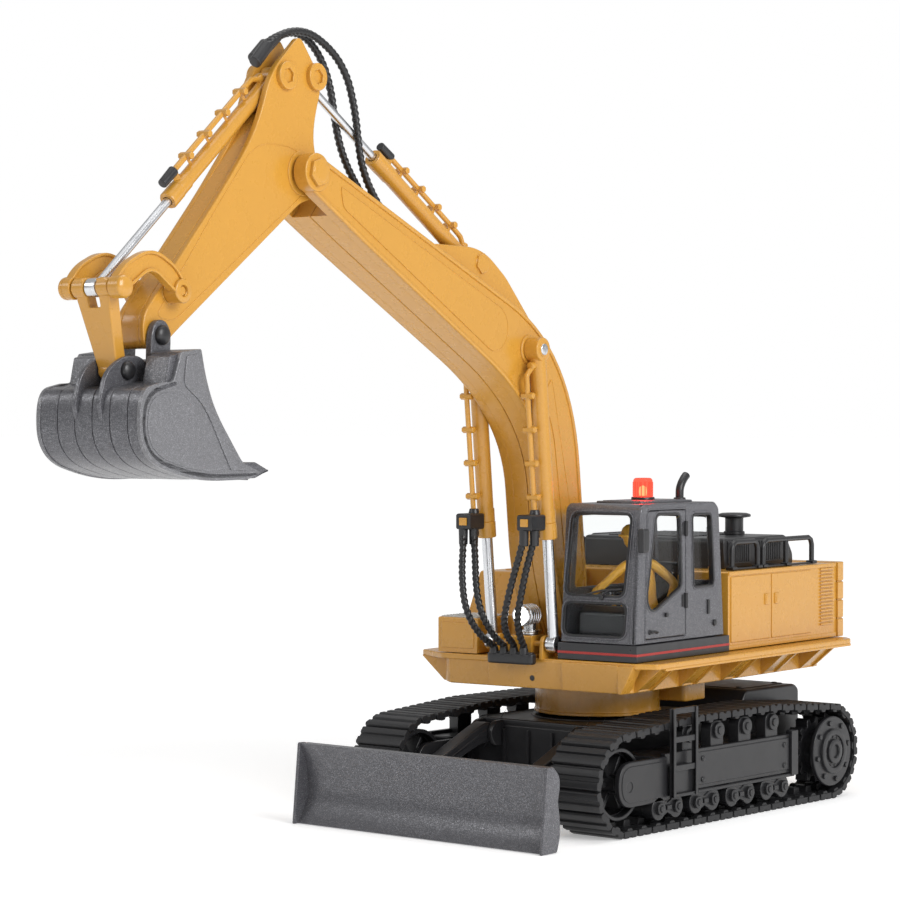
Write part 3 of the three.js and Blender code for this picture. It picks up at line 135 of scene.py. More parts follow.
TURN = {
    "X": Matrix(((0, 0, 1, 0), (1, 0, 0, 0), (0, 1, 0, 0), (0, 0, 0, 1))),
    "Y": Matrix(((0, 1, 0, 0), (0, 0, 1, 0), (1, 0, 0, 0), (0, 0, 0, 1))),
    "Z": Matrix.Identity(4),
}


class Form:
    """Collects closed shells in millimetres; paint is the material index that new faces get."""

    def __init__(self, mirror=False):
        self.bm = bmesh.new()
        self.paint = 0
        self.mirror = mirror

    def take(self, mesh, matrix=None, bend=None):
        part = bmesh.new()
        part.from_mesh(mesh)
        bmesh.ops.remove_doubles(part, verts=part.verts, dist=1e-4)
        if matrix is not None:
            bmesh.ops.transform(part, matrix=matrix, verts=part.verts)
        if bend:
            for v in part.verts:
                v.co = bend(v.co)
        if self.mirror:
            for v in part.verts:
                v.co.x = -v.co.x
        bmesh.ops.recalc_face_normals(part, faces=part.faces)
        for face in part.faces:
            face.material_index = self.paint
        part.to_mesh(mesh)
        part.free()
        self.bm.from_mesh(mesh)
        bpy.data.meshes.remove(mesh)
        return self

    def plate(self, axis, outline, low, high, holes=(), edge=0.4, bend=None, steps=6):
        """An outline extruded along an axis, with its rims rounded by edge.

        X outlines are (y, z) and Y ones (z, x).
        """
        low, high = sorted((low, high))
        edge = min(edge, (high - low) * 0.45)
        curve = bpy.data.curves.new("outline", "CURVE")
        curve.dimensions = "2D"
        curve.fill_mode = "BOTH"
        curve.extrude = (high - low) / 2 - edge
        curve.bevel_depth = edge
        curve.bevel_resolution = 1
        curve.offset = -edge
        for loop in (outline, *holes):
            points = rounded(loop, steps)
            spline = curve.splines.new("POLY")
            spline.points.add(len(points) - 1)
            for target, point in zip(spline.points, points):
                target.co = (point[0], point[1], 0, 1)
            spline.use_cyclic_u = True
        holder = bpy.data.objects.new("outline", curve)
        mesh = bpy.data.meshes.new_from_object(holder)
        bpy.data.objects.remove(holder)
        bpy.data.curves.remove(curve)
        matrix = TURN[axis] @ Matrix.Translation((0, 0, (low + high) / 2))
        return self.take(mesh, matrix, bend)

    def block(self, x0, x1, y0, y1, z0, z1, edge=0.4, bend=None):
        return self.plate("Z", rect(x0, x1, y0, y1), z0, z1, edge=edge, bend=bend)

    def lathe(self, profile, origin, direction, sides=40, squash=None, bend=None):
        """A profile of (radius, height) turned about a line through origin.

        It starts and ends on the axis, or closes on itself.
        """
        part = bmesh.new()
        rings = []
        for radius, height in profile:
            if radius < 1e-6:
                rings.append([part.verts.new((0, 0, height))])
                continue
            rings.append([part.verts.new((x, y, height)) for x, y in circle((0, 0), radius, sides)])
        closed = profile[0][0] > 1e-6
        pairs = list(zip(rings, rings[1:])) + ([(rings[-1], rings[0])] if closed else [])
        for a, b in pairs:
            for i in range(sides):
                j = (i + 1) % sides
                loop = [a[i % len(a)], a[j % len(a)], b[j % len(b)], b[i % len(b)]]
                loop = list(dict.fromkeys(loop))
                if len(loop) > 2:
                    part.faces.new(loop)
        mesh = bpy.data.meshes.new("lathe")
        part.to_mesh(mesh)
        part.free()
        turn = Vector((0, 0, 1)).rotation_difference(Vector(direction)).to_matrix().to_4x4()
        matrix = Matrix.Translation(origin) @ turn
        if squash:
            matrix = matrix @ Matrix.Diagonal((*squash, 1))
        return self.take(mesh, matrix, bend)

    def rod(self, a, b, radius, end=None, sides=32, edge=0.35, bend=None):
        a = Vector(a)
        b = Vector(b)
        length = (b - a).length
        end = radius if end is None else end
        e = min(edge, length * 0.3, radius * 0.4)
        profile = [(0, 0), (radius - e, 0), (radius - e * 0.3, e * 0.3), (radius, e)]
        profile += [(end, length - e), (end - e * 0.3, length - e * 0.3), (end - e, length), (0, length)]
        return self.lathe(profile, a, b - a, sides, bend=bend)

    def pin(self, at, x0, x1, radius, sides=32, edge=0.35):
        """A rod along X through (y, z)."""
        return self.rod((x0, at[0], at[1]), (x1, at[0], at[1]), radius, sides=sides, edge=edge)

    def hexagon(self, at, x0, x1, radius, edge=0.3, phase=0.3):
        return self.plate("X", circle(at, radius, 6, phase), x0, x1, edge=edge)

    def dome(self, at, x0, x1, radius):
        """A domed pin head whose round side faces x1."""
        rise = abs(x1 - x0)
        turns = [i * math.pi / 16 for i in range(8)]
        arc = [(radius * math.cos(t), rise * (0.35 + 0.65 * math.sin(t))) for t in turns]
        return self.lathe([(0, 0), (radius, 0), *arc, (0, rise)], (x0, *at), (x1 - x0, 0, 0), 28)

    def tube(self, points, radius, sides=14, steps=5, bumps=None, straight=False, cyclic=False):
        """A round bar along a smooth line; bumps(distance, angle) scales its radius."""
        line = [Vector(p) for p in points] if straight else smooth(points, steps)
        part = bmesh.new()
        rings = []
        gone = 0.0
        previous = None
        count = len(line)
        for i, centre in enumerate(line):
            if cyclic:
                ahead = (line[(i + 1) % count] - line[i - 1]).normalized()
            else:
                ahead = (line[min(i + 1, count - 1)] - line[max(i - 1, 0)]).normalized()
            if previous is None:
                across = ahead.orthogonal().normalized()
            else:
                across = (previous - ahead * previous.dot(ahead)).normalized()
            previous = across
            other = ahead.cross(across)
            if i:
                gone += (centre - line[i - 1]).length
            ring = []
            for k in range(sides):
                angle = 2 * math.pi * k / sides
                r = radius * (bumps(gone, angle) if bumps else 1)
                aside = across * math.cos(angle) + other * math.sin(angle)
                ring.append(part.verts.new(centre + aside * r))
            rings.append(ring)
        pairs = list(zip(rings, rings[1:])) + ([(rings[-1], rings[0])] if cyclic else [])
        for a, b in pairs:
            for k in range(sides):
                part.faces.new((a[k], a[(k + 1) % sides], b[(k + 1) % sides], b[k]))
        if not cyclic:
            part.faces.new(rings[0])
            part.faces.new(rings[-1])
        mesh = bpy.data.meshes.new("tube")
        part.to_mesh(mesh)
        part.free()
        return self.take(mesh)

    def screw(self, at, x0, x1, radius=1.5):
        """A screw's domed head along X, whose round side faces x1."""
        self.dome(at, x0, x1, radius)
        return self


def smooth(points, steps=5):
    """Catmull-Rom points through a route."""
    p = [Vector(q) for q in points]
    p = [p[0] * 2 - p[1], *p, p[-1] * 2 - p[-2]]
    out = []
    for i in range(1, len(p) - 2):
        for k in range(steps):
            t = k / steps
            a, b, c, d = p[i - 1 : i + 3]
            curve = 2 * b + (c - a) * t + (2 * a - 5 * b + 4 * c - d) * t**2
            curve += (3 * b - a - 3 * c + d) * t**3
            out.append(curve * 0.5)
    out.append(p[-2])
    return out


def piece(name, form, body, materials, replaces=(), space=UPPER, sharp=50):
    mesh = bpy.data.meshes.new(name)
    form.bm.to_mesh(mesh)
    form.bm.free()
    mesh.transform(space)
    for material in materials if isinstance(materials, (list, tuple)) else [materials]:
        mesh.materials.append(material)
    for polygon in mesh.polygons:
        polygon.use_smooth = True
    mesh.set_sharp_from_angle(angle=math.radians(sharp))
    made = bpy.data.objects.new(name, mesh)
    bpy.context.collection.objects.link(made)
    weighted = made.modifiers.new("weighted", "WEIGHTED_NORMAL")
    weighted.keep_sharp = True
    if body:
        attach(made, body)
    if replaces:
        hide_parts(*replaces)
    return made


# ------------------------------------------------------------------ materials
class Paint:
    """A Principled material with small helpers for the node tree."""

    def __init__(self, name, color, roughness, metallic=0.0, **settings):
        self.material = bpy.data.materials.new(name)
        self.material.use_nodes = True
        self.tree = self.material.node_tree
        self.shader = self.tree.nodes["Principled BSDF"]
        self.set("Base Color", (*color, 1))
        self.set("Roughness", roughness)
        self.set("Metallic", metallic)
        for key, value in settings.items():
            self.set(key.replace("_", " "), value)
        self.coords = self.tree.nodes.new("ShaderNodeTexCoord")

    def set(self, key, value):
        self.shader.inputs[key].default_value = value

    def node(self, kind, **values):
        made = self.tree.nodes.new(kind)
        for key, value in values.items():
            if key in made.inputs:
                made.inputs[key].default_value = value
            else:
                setattr(made, key, value)
        return made

    def link(self, source, target):
        self.tree.links.new(source, target)

    def noise(self, scale, detail=3.0, roughness=0.55):
        made = self.node("ShaderNodeTexNoise", Scale=scale, Detail=detail, Roughness=roughness)
        self.link(self.coords.outputs["Object"], made.inputs["Vector"])
        return made.outputs["Fac"]

    def remap(self, source, low, high, out_low, out_high):
        made = self.node("ShaderNodeMapRange")
        for key, value in zip(("From Min", "From Max", "To Min", "To Max"), (low, high, out_low, out_high)):
            made.inputs[key].default_value = value
        self.link(source, made.inputs["Value"])
        return made.outputs["Result"]

    def tint(self, factor, dark, light):
        made = self.node("ShaderNodeMix", data_type="RGBA")
        made.inputs[6].default_value = (*dark, 1)
        made.inputs[7].default_value = (*light, 1)
        self.link(factor, made.inputs[0])
        self.link(made.outputs[2], self.shader.inputs["Base Color"])
        return made.outputs[2]

    def bump(self, height, distance, strength=0.3):
        made = self.node("ShaderNodeBump", Strength=strength, Distance=distance)
        self.link(height, made.inputs["Height"])
        self.link(made.outputs["Normal"], self.shader.inputs["Normal"])


def linear(r, g, b):
    """sRGB bytes to linear."""
    out = []
    for value in (r, g, b):
        c = value / 255
        out.append(c / 12.92 if c <= 0.04045 else ((c + 0.055) / 1.055) ** 2.4)
    return tuple(out)


def moulded(name, color, roughness, spread=0.05, drift=0.06, grain=900, depth=0.00002, **settings):
    """Moulded plastic: faint colour drift, uneven gloss and a very fine skin."""
    paint = Paint(name, color, roughness, **settings)
    slow = paint.noise(28, 2)
    paint.tint(slow, tuple(c * (1 - drift) for c in color), tuple(min(1, c * (1 + drift)) for c in color))
    fine = paint.noise(grain, 3)
    uneven = paint.remap(paint.noise(140, 4), 0.3, 0.7, roughness - spread, roughness + spread)
    paint.link(uneven, paint.shader.inputs["Roughness"])
    paint.bump(fine, depth, 0.25)
    return paint.material


def speckled(name, color, fleck, roughness):
    """Dark plastic with fine metal flecks in it."""
    paint = Paint(name, color, roughness, 0.25)
    cells = paint.node("ShaderNodeTexVoronoi", Scale=4200.0)
    paint.link(paint.coords.outputs["Object"], cells.inputs["Vector"])
    pick = paint.node("ShaderNodeSeparateColor")
    paint.link(cells.outputs["Color"], pick.inputs["Color"])
    bright = paint.remap(pick.outputs["Red"], 0.7, 1.0, 0.0, 0.6)
    paint.tint(bright, color, fleck)
    paint.link(paint.remap(bright, 0, 1, roughness, roughness - 0.16), paint.shader.inputs["Roughness"])
    paint.link(paint.remap(bright, 0, 1, 0.15, 0.8), paint.shader.inputs["Metallic"])
    paint.bump(paint.noise(1800, 2), 0.00002, 0.12)
    return paint.material


YELLOW_RGB = linear(197, 143, 54)
YELLOW = moulded(
    "yellow_plastic", YELLOW_RGB, 0.28, 0.03, 0.025, 1200, 0.000006, Coat_Weight=0.25,
    Coat_Roughness=0.12, Specular_IOR_Level=0.5,
)
BLACK = moulded("black_plastic", linear(34, 34, 36), 0.34, grain=1400, depth=0.00002)
SATIN = moulded("satin_black", linear(40, 40, 43), 0.32)
GREY = speckled("grey_speckled", linear(76, 76, 80), linear(186, 186, 192), 0.34)
# A lighter copy of the speckled grey, used as painted light: the bucket's side plates are drawn brighter
# than its shell, as they look when lit.
GREY_PAINTED_LIGHT = speckled("grey_speckled_painted_light", linear(104, 104, 107), linear(200, 200, 205), 0.34)
RUBBER = moulded("track_rubber", linear(30, 30, 32), 0.5, grain=1800, depth=0.00006)
HOSE = moulded("hose_rubber", linear(22, 22, 24), 0.38)
STRIPE = moulded("red_stripe", linear(168, 44, 40), 0.4)
FIGURE = moulded("figure_plastic", linear(224, 168, 60), 0.45)
BOARD = moulded("board_green", linear(24, 84, 48), 0.45)
CELL = moulded("battery_wrap", linear(44, 74, 140), 0.35)
PALE = moulded("tread_plate", linear(186, 186, 182), 0.4, 0.05, 0.05)


def metal(name, color, roughness, scale=400):
    paint = Paint(name, color, roughness, 1.0)
    streak = paint.remap(paint.noise(scale, 3), 0.3, 0.7, roughness * 0.7, roughness * 1.4)
    paint.link(streak, paint.shader.inputs["Roughness"])
    paint.bump(paint.noise(scale * 3, 2), 0.000002, 0.1)
    return paint.material


CHROME = metal("chrome", (0.66, 0.67, 0.69), 0.26, 60)
STEEL = metal("steel", (0.6, 0.61, 0.63), 0.28)
SILVER = metal("silver_plastic", (0.72, 0.73, 0.74), 0.22)


def clear(name, color, roughness, glow=0.0, strength=1.0):
    paint = Paint(name, color, roughness, 0.0, Transmission_Weight=1.0, IOR=1.12, Specular_IOR_Level=0.6)
    uneven = paint.remap(paint.noise(60, 2), 0.3, 0.7, roughness * 0.6, roughness * 1.5)
    paint.link(uneven, paint.shader.inputs["Roughness"])
    if glow:
        paint.set("Emission Color", (*color, 1))
        paint.set("Emission Strength", glow)
    return paint.material


GLASS = clear("clear_window", (0.93, 0.95, 0.95), 0.02)
RED = clear("red_lens", (0.95, 0.05, 0.03), 0.08, glow=1.6)
LAMP = clear("lamp_lens", (1.0, 0.98, 0.92), 0.1, glow=5.0)

# ------------------------------------------------------------------ hoses
HOSE_D = 3.5
TWIST_PITCH = 3
TWIST_HEIGHT = 0.14
# Points laid between two corners of a route.
LOWER_STEPS = 15
UPPER_STEPS = 16


def strand(gone, angle):
    """The profile of a hose with two twisted ridges."""
    return 1 + TWIST_HEIGHT * math.cos(2 * angle - 2 * math.pi * gone / TWIST_PITCH)


LOWER_HOSES = {
    "hose_left_outer": [
        (12.4, -88.6, 150), (10.3, -88.8, 142), (7.5, -88.7, 134), (4.8, -88.6, 126), (2.6, -88.8, 118),
        (0.6, -88.4, 111), (-1.4, -86.5, 104.5), (-3.2, -81.5, 98), (-4, -76, 94), (-4.4, -72.8, 91),
    ],
    "hose_left_inner": [
        (16.2, -84.6, 150), (14, -84.6, 142), (11.6, -84.8, 134), (9.6, -85, 126), (7.8, -85, 118),
        (6, -84.6, 111), (4.4, -82.6, 104.5), (3, -78.8, 98), (2.2, -75.4, 94), (1.8, -72.8, 91),
    ],
    "hose_right_outer": [
        (-26, -88.6, 150), (-23.8, -92, 142), (-22.4, -94.6, 134), (-21.2, -96, 126), (-20.2, -96.2, 118),
        (-19.3, -94.8, 111), (-18.4, -91.4, 104.5), (-17.3, -85.6, 98), (-16.8, -79.4, 94),
        (-16.6, -73.4, 91),
    ],
    "hose_right_inner": [
        (-22.2, -84.6, 150), (-19.8, -87, 142), (-18, -89, 134), (-16.6, -90.4, 126), (-15.4, -90.6, 118),
        (-14.2, -89.4, 111), (-13, -86.6, 104.5), (-11.8, -81.6, 98), (-11, -77, 94), (-10.6, -73, 91),
    ],
}
UPPER_HOSES = {
    "hose_stick_outer": [
        (-2, -283, 374.6), (-2, -276, 381.6), (-2, -268.1, 386.6), (-2, -258, 390), (-2, -247, 390.6),
        (-2, -236, 387.6), (-2, -225, 381.4), (-2, -217, 372.6), (-2, -212.4, 362), (-2, -209.8, 352.1),
        (-2, -208, 342), (-2, -205.6, 333), (-2, -201.6, 325), (-2, -196.6, 318.4), (-2, -191.4, 312.8),
        (-2, -186.8, 307), (-2, -183, 300.6),
    ],
    "hose_stick_inner": [
        (-8, -277, 377.4), (-8, -270, 383.4), (-8, -261, 388), (-8, -251, 390.8), (-8, -241, 389.4),
        (-8, -232.4, 383.8), (-8, -226, 375.6), (-8, -222, 366.4), (-8, -219.6, 357), (-8, -217.2, 347.6),
        (-8, -214, 339.4), (-8, -209.6, 332), (-8, -204.4, 325.6), (-8, -198.8, 319.8), (-8, -193.4, 314),
        (-8, -188.6, 307.8), (-8, -184.8, 301.2),
    ],
}


def hose(name, route, steps, replaces=()):
    """A hose with its cord; it rides on no body of its own."""
    form = Form()
    form.tube(route, HOSE_D / 2, sides=12, steps=steps, bumps=strand)
    made = piece(name, form, None, HOSE, replaces, sharp=80)
    line = [UPPER @ p for p in smooth(route, steps)]
    return made, line


for name, route in LOWER_HOSES.items():
    made, line = hose("twisted_" + name, route, LOWER_STEPS, [name])
    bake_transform(made)
for name, route in UPPER_HOSES.items():
    made, line = hose(name, route, UPPER_STEPS)
    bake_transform(made)

# ------------------------------------------------------------------ undercarriage
TRACK_IN = 50.5
TRACK_OUT = 81.5
IDLER_Y = -82.0
SPROCKET_Y = 108.0
AXLE_Z = 26.5
CREST_Z = 57.0
CREST_FRONT = -26.0
CREST_REAR = 52.0
LINKS = 45
PANEL = 80.0
IDLER = (IDLER_Y, AXLE_Z)
SPROCKET = (SPROCKET_Y, AXLE_Z)


def track_loop(depth):
    """Closed line of the track, depth inside its outer face, as (y, z)."""
    r = AXLE_Z - depth
    lean_front = math.atan2(CREST_Z - 2 * AXLE_Z, CREST_FRONT - IDLER_Y)
    lean_rear = math.atan2(CREST_Z - 2 * AXLE_Z, SPROCKET_Y - CREST_REAR)
    raw = [Vector((SPROCKET_Y, depth)), Vector((IDLER_Y, depth))]
    sweep = math.pi - lean_front
    for i in range(1, 33):
        a = -math.pi / 2 - sweep * i / 32
        raw.append(Vector((IDLER_Y + r * math.cos(a), AXLE_Z + r * math.sin(a))))
    raw += [Vector((y, CREST_Z - depth)) for y in (CREST_FRONT, CREST_REAR)]
    sweep = math.pi - lean_rear
    for i in range(0, 32):
        a = math.pi / 2 - lean_rear - sweep * i / 32
        raw.append(Vector((SPROCKET_Y + r * math.cos(a), AXLE_Z + r * math.sin(a))))
    return raw


def spaced(loop, count, shift=0.0):
    """count points at even distances round a closed line, each with its direction."""
    ends = list(zip(loop, loop[1:] + loop[:1]))
    total = sum((b - a).length for a, b in ends)
    out = []
    target = shift * total / count
    gone = 0.0
    for a, b in ends:
        size = (b - a).length
        while target <= gone + size and len(out) < count:
            out.append((a + (b - a) * ((target - gone) / size), (b - a).normalized()))
            target += total / count
        gone += size
    return out


def track_belt(side, sign):
    form = Form(mirror=sign < 0)
    band = [p for p, _ in spaced(track_loop(1.7), 270)]
    inner = [p for p, _ in spaced(track_loop(3.3), 270)]
    form.plate(
        "X", [[*p] for p in band], TRACK_IN + 0.9, TRACK_OUT - 0.9, [[[*p] for p in inner]], edge=0.15,
    )
    shoe = [
        [-5.3, 3.6], [-5.3, 1.1], [-4.5, 0.1], [-1.5, 0.1], [-0.9, 1.1], [0.9, 1.1], [1.5, 0.1],
        [4.5, 0.1], [5.3, 1.1], [5.3, 3.6],
    ]
    lug = [[-3.2, 3.0], [-2.2, 7.0], [2.2, 7.0], [3.2, 3.0]]
    rib = [[-2.6, 3.0], [-1.6, 5.0, 1], [1.6, 5.0, 1], [2.6, 3.0]]
    for centre, ahead in spaced(track_loop(0), LINKS, 0.5):
        inward = Vector((ahead.y, -ahead.x))

        def place(points):
            return [[*(centre + ahead * p[0] + inward * p[1]), *p[2:]] for p in points]

        form.plate("X", place(shoe), TRACK_IN, TRACK_OUT, edge=0.25)
        form.plate("X", place(lug), 62, 70, edge=0.4)
        form.plate("X", place(rib), TRACK_OUT - 4.6, TRACK_OUT - 0.5, edge=0.3, steps=3)
        form.plate("X", place(rib), TRACK_IN + 0.5, TRACK_IN + 4.6, edge=0.3, steps=3)
    piece(
        "linked_track_" + side, form, "undercarriage", RUBBER, ["track_belt_" + side],
        LOWER,
    )


def figure_eight(y0, y1, z, radius):
    ends = []
    for y, first in ((y0, 40), (y1, 220)):
        turns = [math.radians(v) for v in range(first, first + 281, 20)]
        ends.append([[y + radius * math.cos(a), z + radius * math.sin(a)] for a in turns])
    waist = (y0 + y1) / 2
    return [*ends[0], [waist, z - 2.6], *ends[1], [waist, z + 2.6]]


def step_ladder(form):
    low = 17
    high = 62.5
    front = -48.3
    rear = -26.9
    holes = [rect(front + 1.9, rear - 1.9, z + 1.7, z + 13.3) for z in (17, 31.6, 46.2)]
    edge_line = rect(front, rear, low, high)
    form.plate("X", edge_line, TRACK_OUT + 0.6, TRACK_OUT + 3, holes, edge=0.3)
    for y in (front, rear - 1.9):
        form.block(TRACK_OUT + 2, TRACK_OUT + 3.6, y, y + 1.9, low, high, 0.3)
    form.block(PANEL - 2, TRACK_OUT + 1, front + 1.9, rear - 1.9, 17.4, 33, 0.4)


def track_frame(side, sign):
    form = Form(mirror=sign < 0)
    form.block(57, PANEL - 2.5, -50, 73, 17.5, 37.6, 1)
    form.plate("X", rect(-49, 72, 18.4, 39.4, 1), PANEL - 3, PANEL, edge=0.4)
    form.plate("X", rect(-22, 66, 20.4, 37.6, 1), PANEL - 1, PANEL + 0.5, edge=0.35)
    form.block(PANEL - 2, PANEL + 1.8, 66.4, 72.6, 17, 41.5, 0.6)
    form.block(PANEL - 2, PANEL + 1.2, -21, 70, 16.4, 18.2, 0.4)
    for y in (-16, 61):
        form.dome((y, 34), PANEL + 0.4, PANEL + 1.4, 1.5)
        form.dome((y, 23), PANEL + 0.4, PANEL + 1.4, 1.5)
    fork = [[-89.5, 15, 11.4], [-48, 15.4, 0.8], [-48, 38, 0.8], [-89.5, 38, 11.4]]
    form.plate("X", fork, PANEL - 2.2, PANEL + 0.8, edge=0.5, steps=12)
    form.plate(
        "X", inset(fork, 2.2), PANEL, PANEL + 1.2, [circle((-81, 25.6), 2.6, 24)], edge=0.3, steps=12,
    )
    form.plate("X", fork, 51.4, 54.6, edge=0.5, steps=12)
    form.block(51.4, 56.4, -52, 76, 17.5, 37.6, 0.6)
    form.pin(IDLER, 54, PANEL, 1.9, 16)
    for y in (-26, -0.4, 25.4, 51.3):
        tab = [[y - 5.8, 37], [y + 5.8, 37], [y + 5.8, 52.6, 5.6], [y - 5.8, 52.6, 5.6]]
        form.plate("X", tab, PANEL - 8, PANEL - 1.4, edge=0.4, steps=8)
        form.pin((y, 47.2), PANEL - 2, PANEL + 0.6, 4.4, 28, 0.5)
        form.pin((y, 47.2), PANEL, PANEL + 1.4, 2.2, 20, 0.3)
    for i in range(4):
        y0 = -55.4 + i * 33
        y1 = y0 + 15
        form.plate("X", figure_eight(y0, y1, 12, 6.1), PANEL - 6, PANEL + 0.8, edge=0.5)
        form.plate(
            "X", [[y0 - 4, 13], [y1 + 4, 13], [y1 + 2, 18.4], [y0 - 2, 18.4]], PANEL - 6, PANEL + 0.2,
            edge=0.4,
        )
        form.block(PANEL, PANEL + 2, y0 + 5.6, y1 - 5.6, 10.8, 13.4, 0.4)
        for y in (y0, y1):
            form.pin((y, 12), PANEL, PANEL + 2.8, 3.3, 24, 0.4)
            form.hexagon((y, 12), PANEL + 2, PANEL + 3.5, 1.9)
            form.pin((y, 12), 57, PANEL - 5, 5.6, 24, 0.6)
    if sign > 0:
        step_ladder(form)
    piece(
        "roller_frame_" + side, form, "undercarriage", BLACK, ["track_frame_" + side],
        LOWER,
    )


def toothed(centre, teeth, tip, root, phase=0.0):
    out = []
    for i in range(teeth):
        for share, radius in ((-0.3, root), (-0.14, tip), (0.14, tip), (0.3, root)):
            a = phase + (i + share) * 2 * math.pi / teeth
            out.append([centre[0] + radius * math.cos(a), centre[1] + radius * math.sin(a)])
    return out


def wheels(side, sign):
    form = Form(mirror=sign < 0)
    face = TRACK_OUT - 2.6
    form.plate("X", toothed(SPROCKET, 13, 18.3, 15), 62, 70, edge=0.4)
    form.pin(SPROCKET, 57, face + 0.5, 11, 40)
    form.pin(SPROCKET, face, face + 2.6, 19.3, 64, 0.6)
    form.lathe(
        [(12.4, 0), (12.4, 1.6), (12, 2), (9.4, 2), (9, 1.6), (9, 0)], (face + 2.4, *SPROCKET), (1, 0, 0),
        56,
    )
    form.pin(SPROCKET, face + 2, face + 3.4, 9.2, 40, 0.3)
    form.lathe(
        [(6.8, 0), (6.8, 1.4), (6.4, 1.8), (4, 1.8), (3.5, 1.2), (3.5, 0)], (face + 3.2, *SPROCKET),
        (1, 0, 0), 40,
    )
    form.pin(SPROCKET, face + 3, face + 3.8, 3.6, 24, 0.2)
    for at in circle(SPROCKET, 15.8, 8, 0.2):
        form.hexagon(at, face + 2.4, face + 3.8, 1.5, 0.25)
    for at in circle(SPROCKET, 8.0, 12, 0.1):
        form.dome(at, face + 3.3, face + 4.0, 0.7)
    piece(
        "sprocket_wheel_" + side, form, "sprocket_" + side, BLACK, ["sprocket_" + side],
        LOWER,
    )

    form = Form(mirror=sign < 0)
    for x0, x1 in ((57, 61.4), (70.9, 75.4)):
        form.plate("X", circle(IDLER, 18.4, 56), x0, x1, [circle(IDLER, 16.2, 48)], edge=0.5)
    form.plate("X", circle(IDLER, 16.8, 56), 61, 71.4, [circle(IDLER, 15.4, 48)], edge=0.2)
    form.plate("X", circle(IDLER, 4.8, 32), 57, 75.4, [circle(IDLER, 2.2, 24)], edge=0.5)
    for i in range(6):
        a = i * math.pi / 3
        along = Vector((math.cos(a), math.sin(a)))
        across = Vector((-math.sin(a), math.cos(a)))
        hub = Vector(IDLER)
        spoke = ((3.6, -1.1), (16.6, -0.8), (16.6, 0.8), (3.6, 1.1))
        bar = [[*(hub + along * u + across * v)] for u, v in spoke]
        form.plate("X", bar, 62, 70.4, edge=0.3)
    piece("idler_wheel_" + side, form, "idler_" + side, BLACK, ["idler_" + side], LOWER)


for side, sign in (("left", 1), ("right", -1)):
    track_belt(side, sign)
    track_frame(side, sign)
    wheels(side, sign)

# ------------------------------------------------------------------ chassis
BLADE_HINGE = (-56, 43.5)
BLADE_LOW = 0.4
BLADE_HEIGHT = 41.4


def chassis():
    form = Form()
    form.plate("Z", rect(-46, 46, -49.8, 58, 9), 46.4, 50.2, edge=0.8)
    form.block(-42, 42, -50, -47.4, 15, 47, 0.8)
    form.block(-42, 42, 71.6, 74, 15, 47, 0.8)
    for x in (-42, 39.6):
        form.block(x, x + 2.4, -49, 73, 15, 47, 0.8)
    for y0, y1 in ((-46, -24), (34, 62)):
        form.block(-51, 51, y0, y1, 20, 36, 0.8)
    form.rod((0, 0, 49.6), (0, 0, 50.7), 36, sides=72)
    for x in (-24, -8, 8, 24):
        form.block(x - 0.8, x + 0.8, -51.4, -48, 18, 45, 0.4)
    for x in (-41.2, -28.6, 25.6, 38.2):
        form.plate(
            "X", [[-61, 43.5, 4.6], [-56, 49.4, 5], [-49.4, 49.4], [-49.4, 36], [-56, 36, 3]], x, x + 3,
            edge=0.5,
        )
    for x in (-41.8, 41.2):
        form.dome(BLADE_HINGE, x, x + math.copysign(1.2, x), 3)
    piece("chassis_shell", form, "undercarriage", BLACK, ["chassis_frame"], LOWER)

    form = Form()
    profile = [[74.8, 15, 2], [131.8, 15, 3], [131.8, 57, 2], [128, 60.1, 2], [79, 60.1, 2], [74.8, 55, 2]]
    form.plate("X", profile, -44.2, 44.2, edge=1.2)
    form.plate("Z", rect(-38, 38, 82, 126, 3), 59.6, 60.5, edge=0.4)
    for x in (-34, 34):
        for y in (86, 122):
            form.rod((x, y, 60.2), (x, y, 61), 1.7, sides=20)
    for x in (-20, 0, 20):
        form.block(x - 0.8, x + 0.8, 131, 132.3, 22, 50, 0.3)
    piece("rear_gearbox_cover", form, "undercarriage", BLACK, ["rear_housing"], LOWER)


chassis()


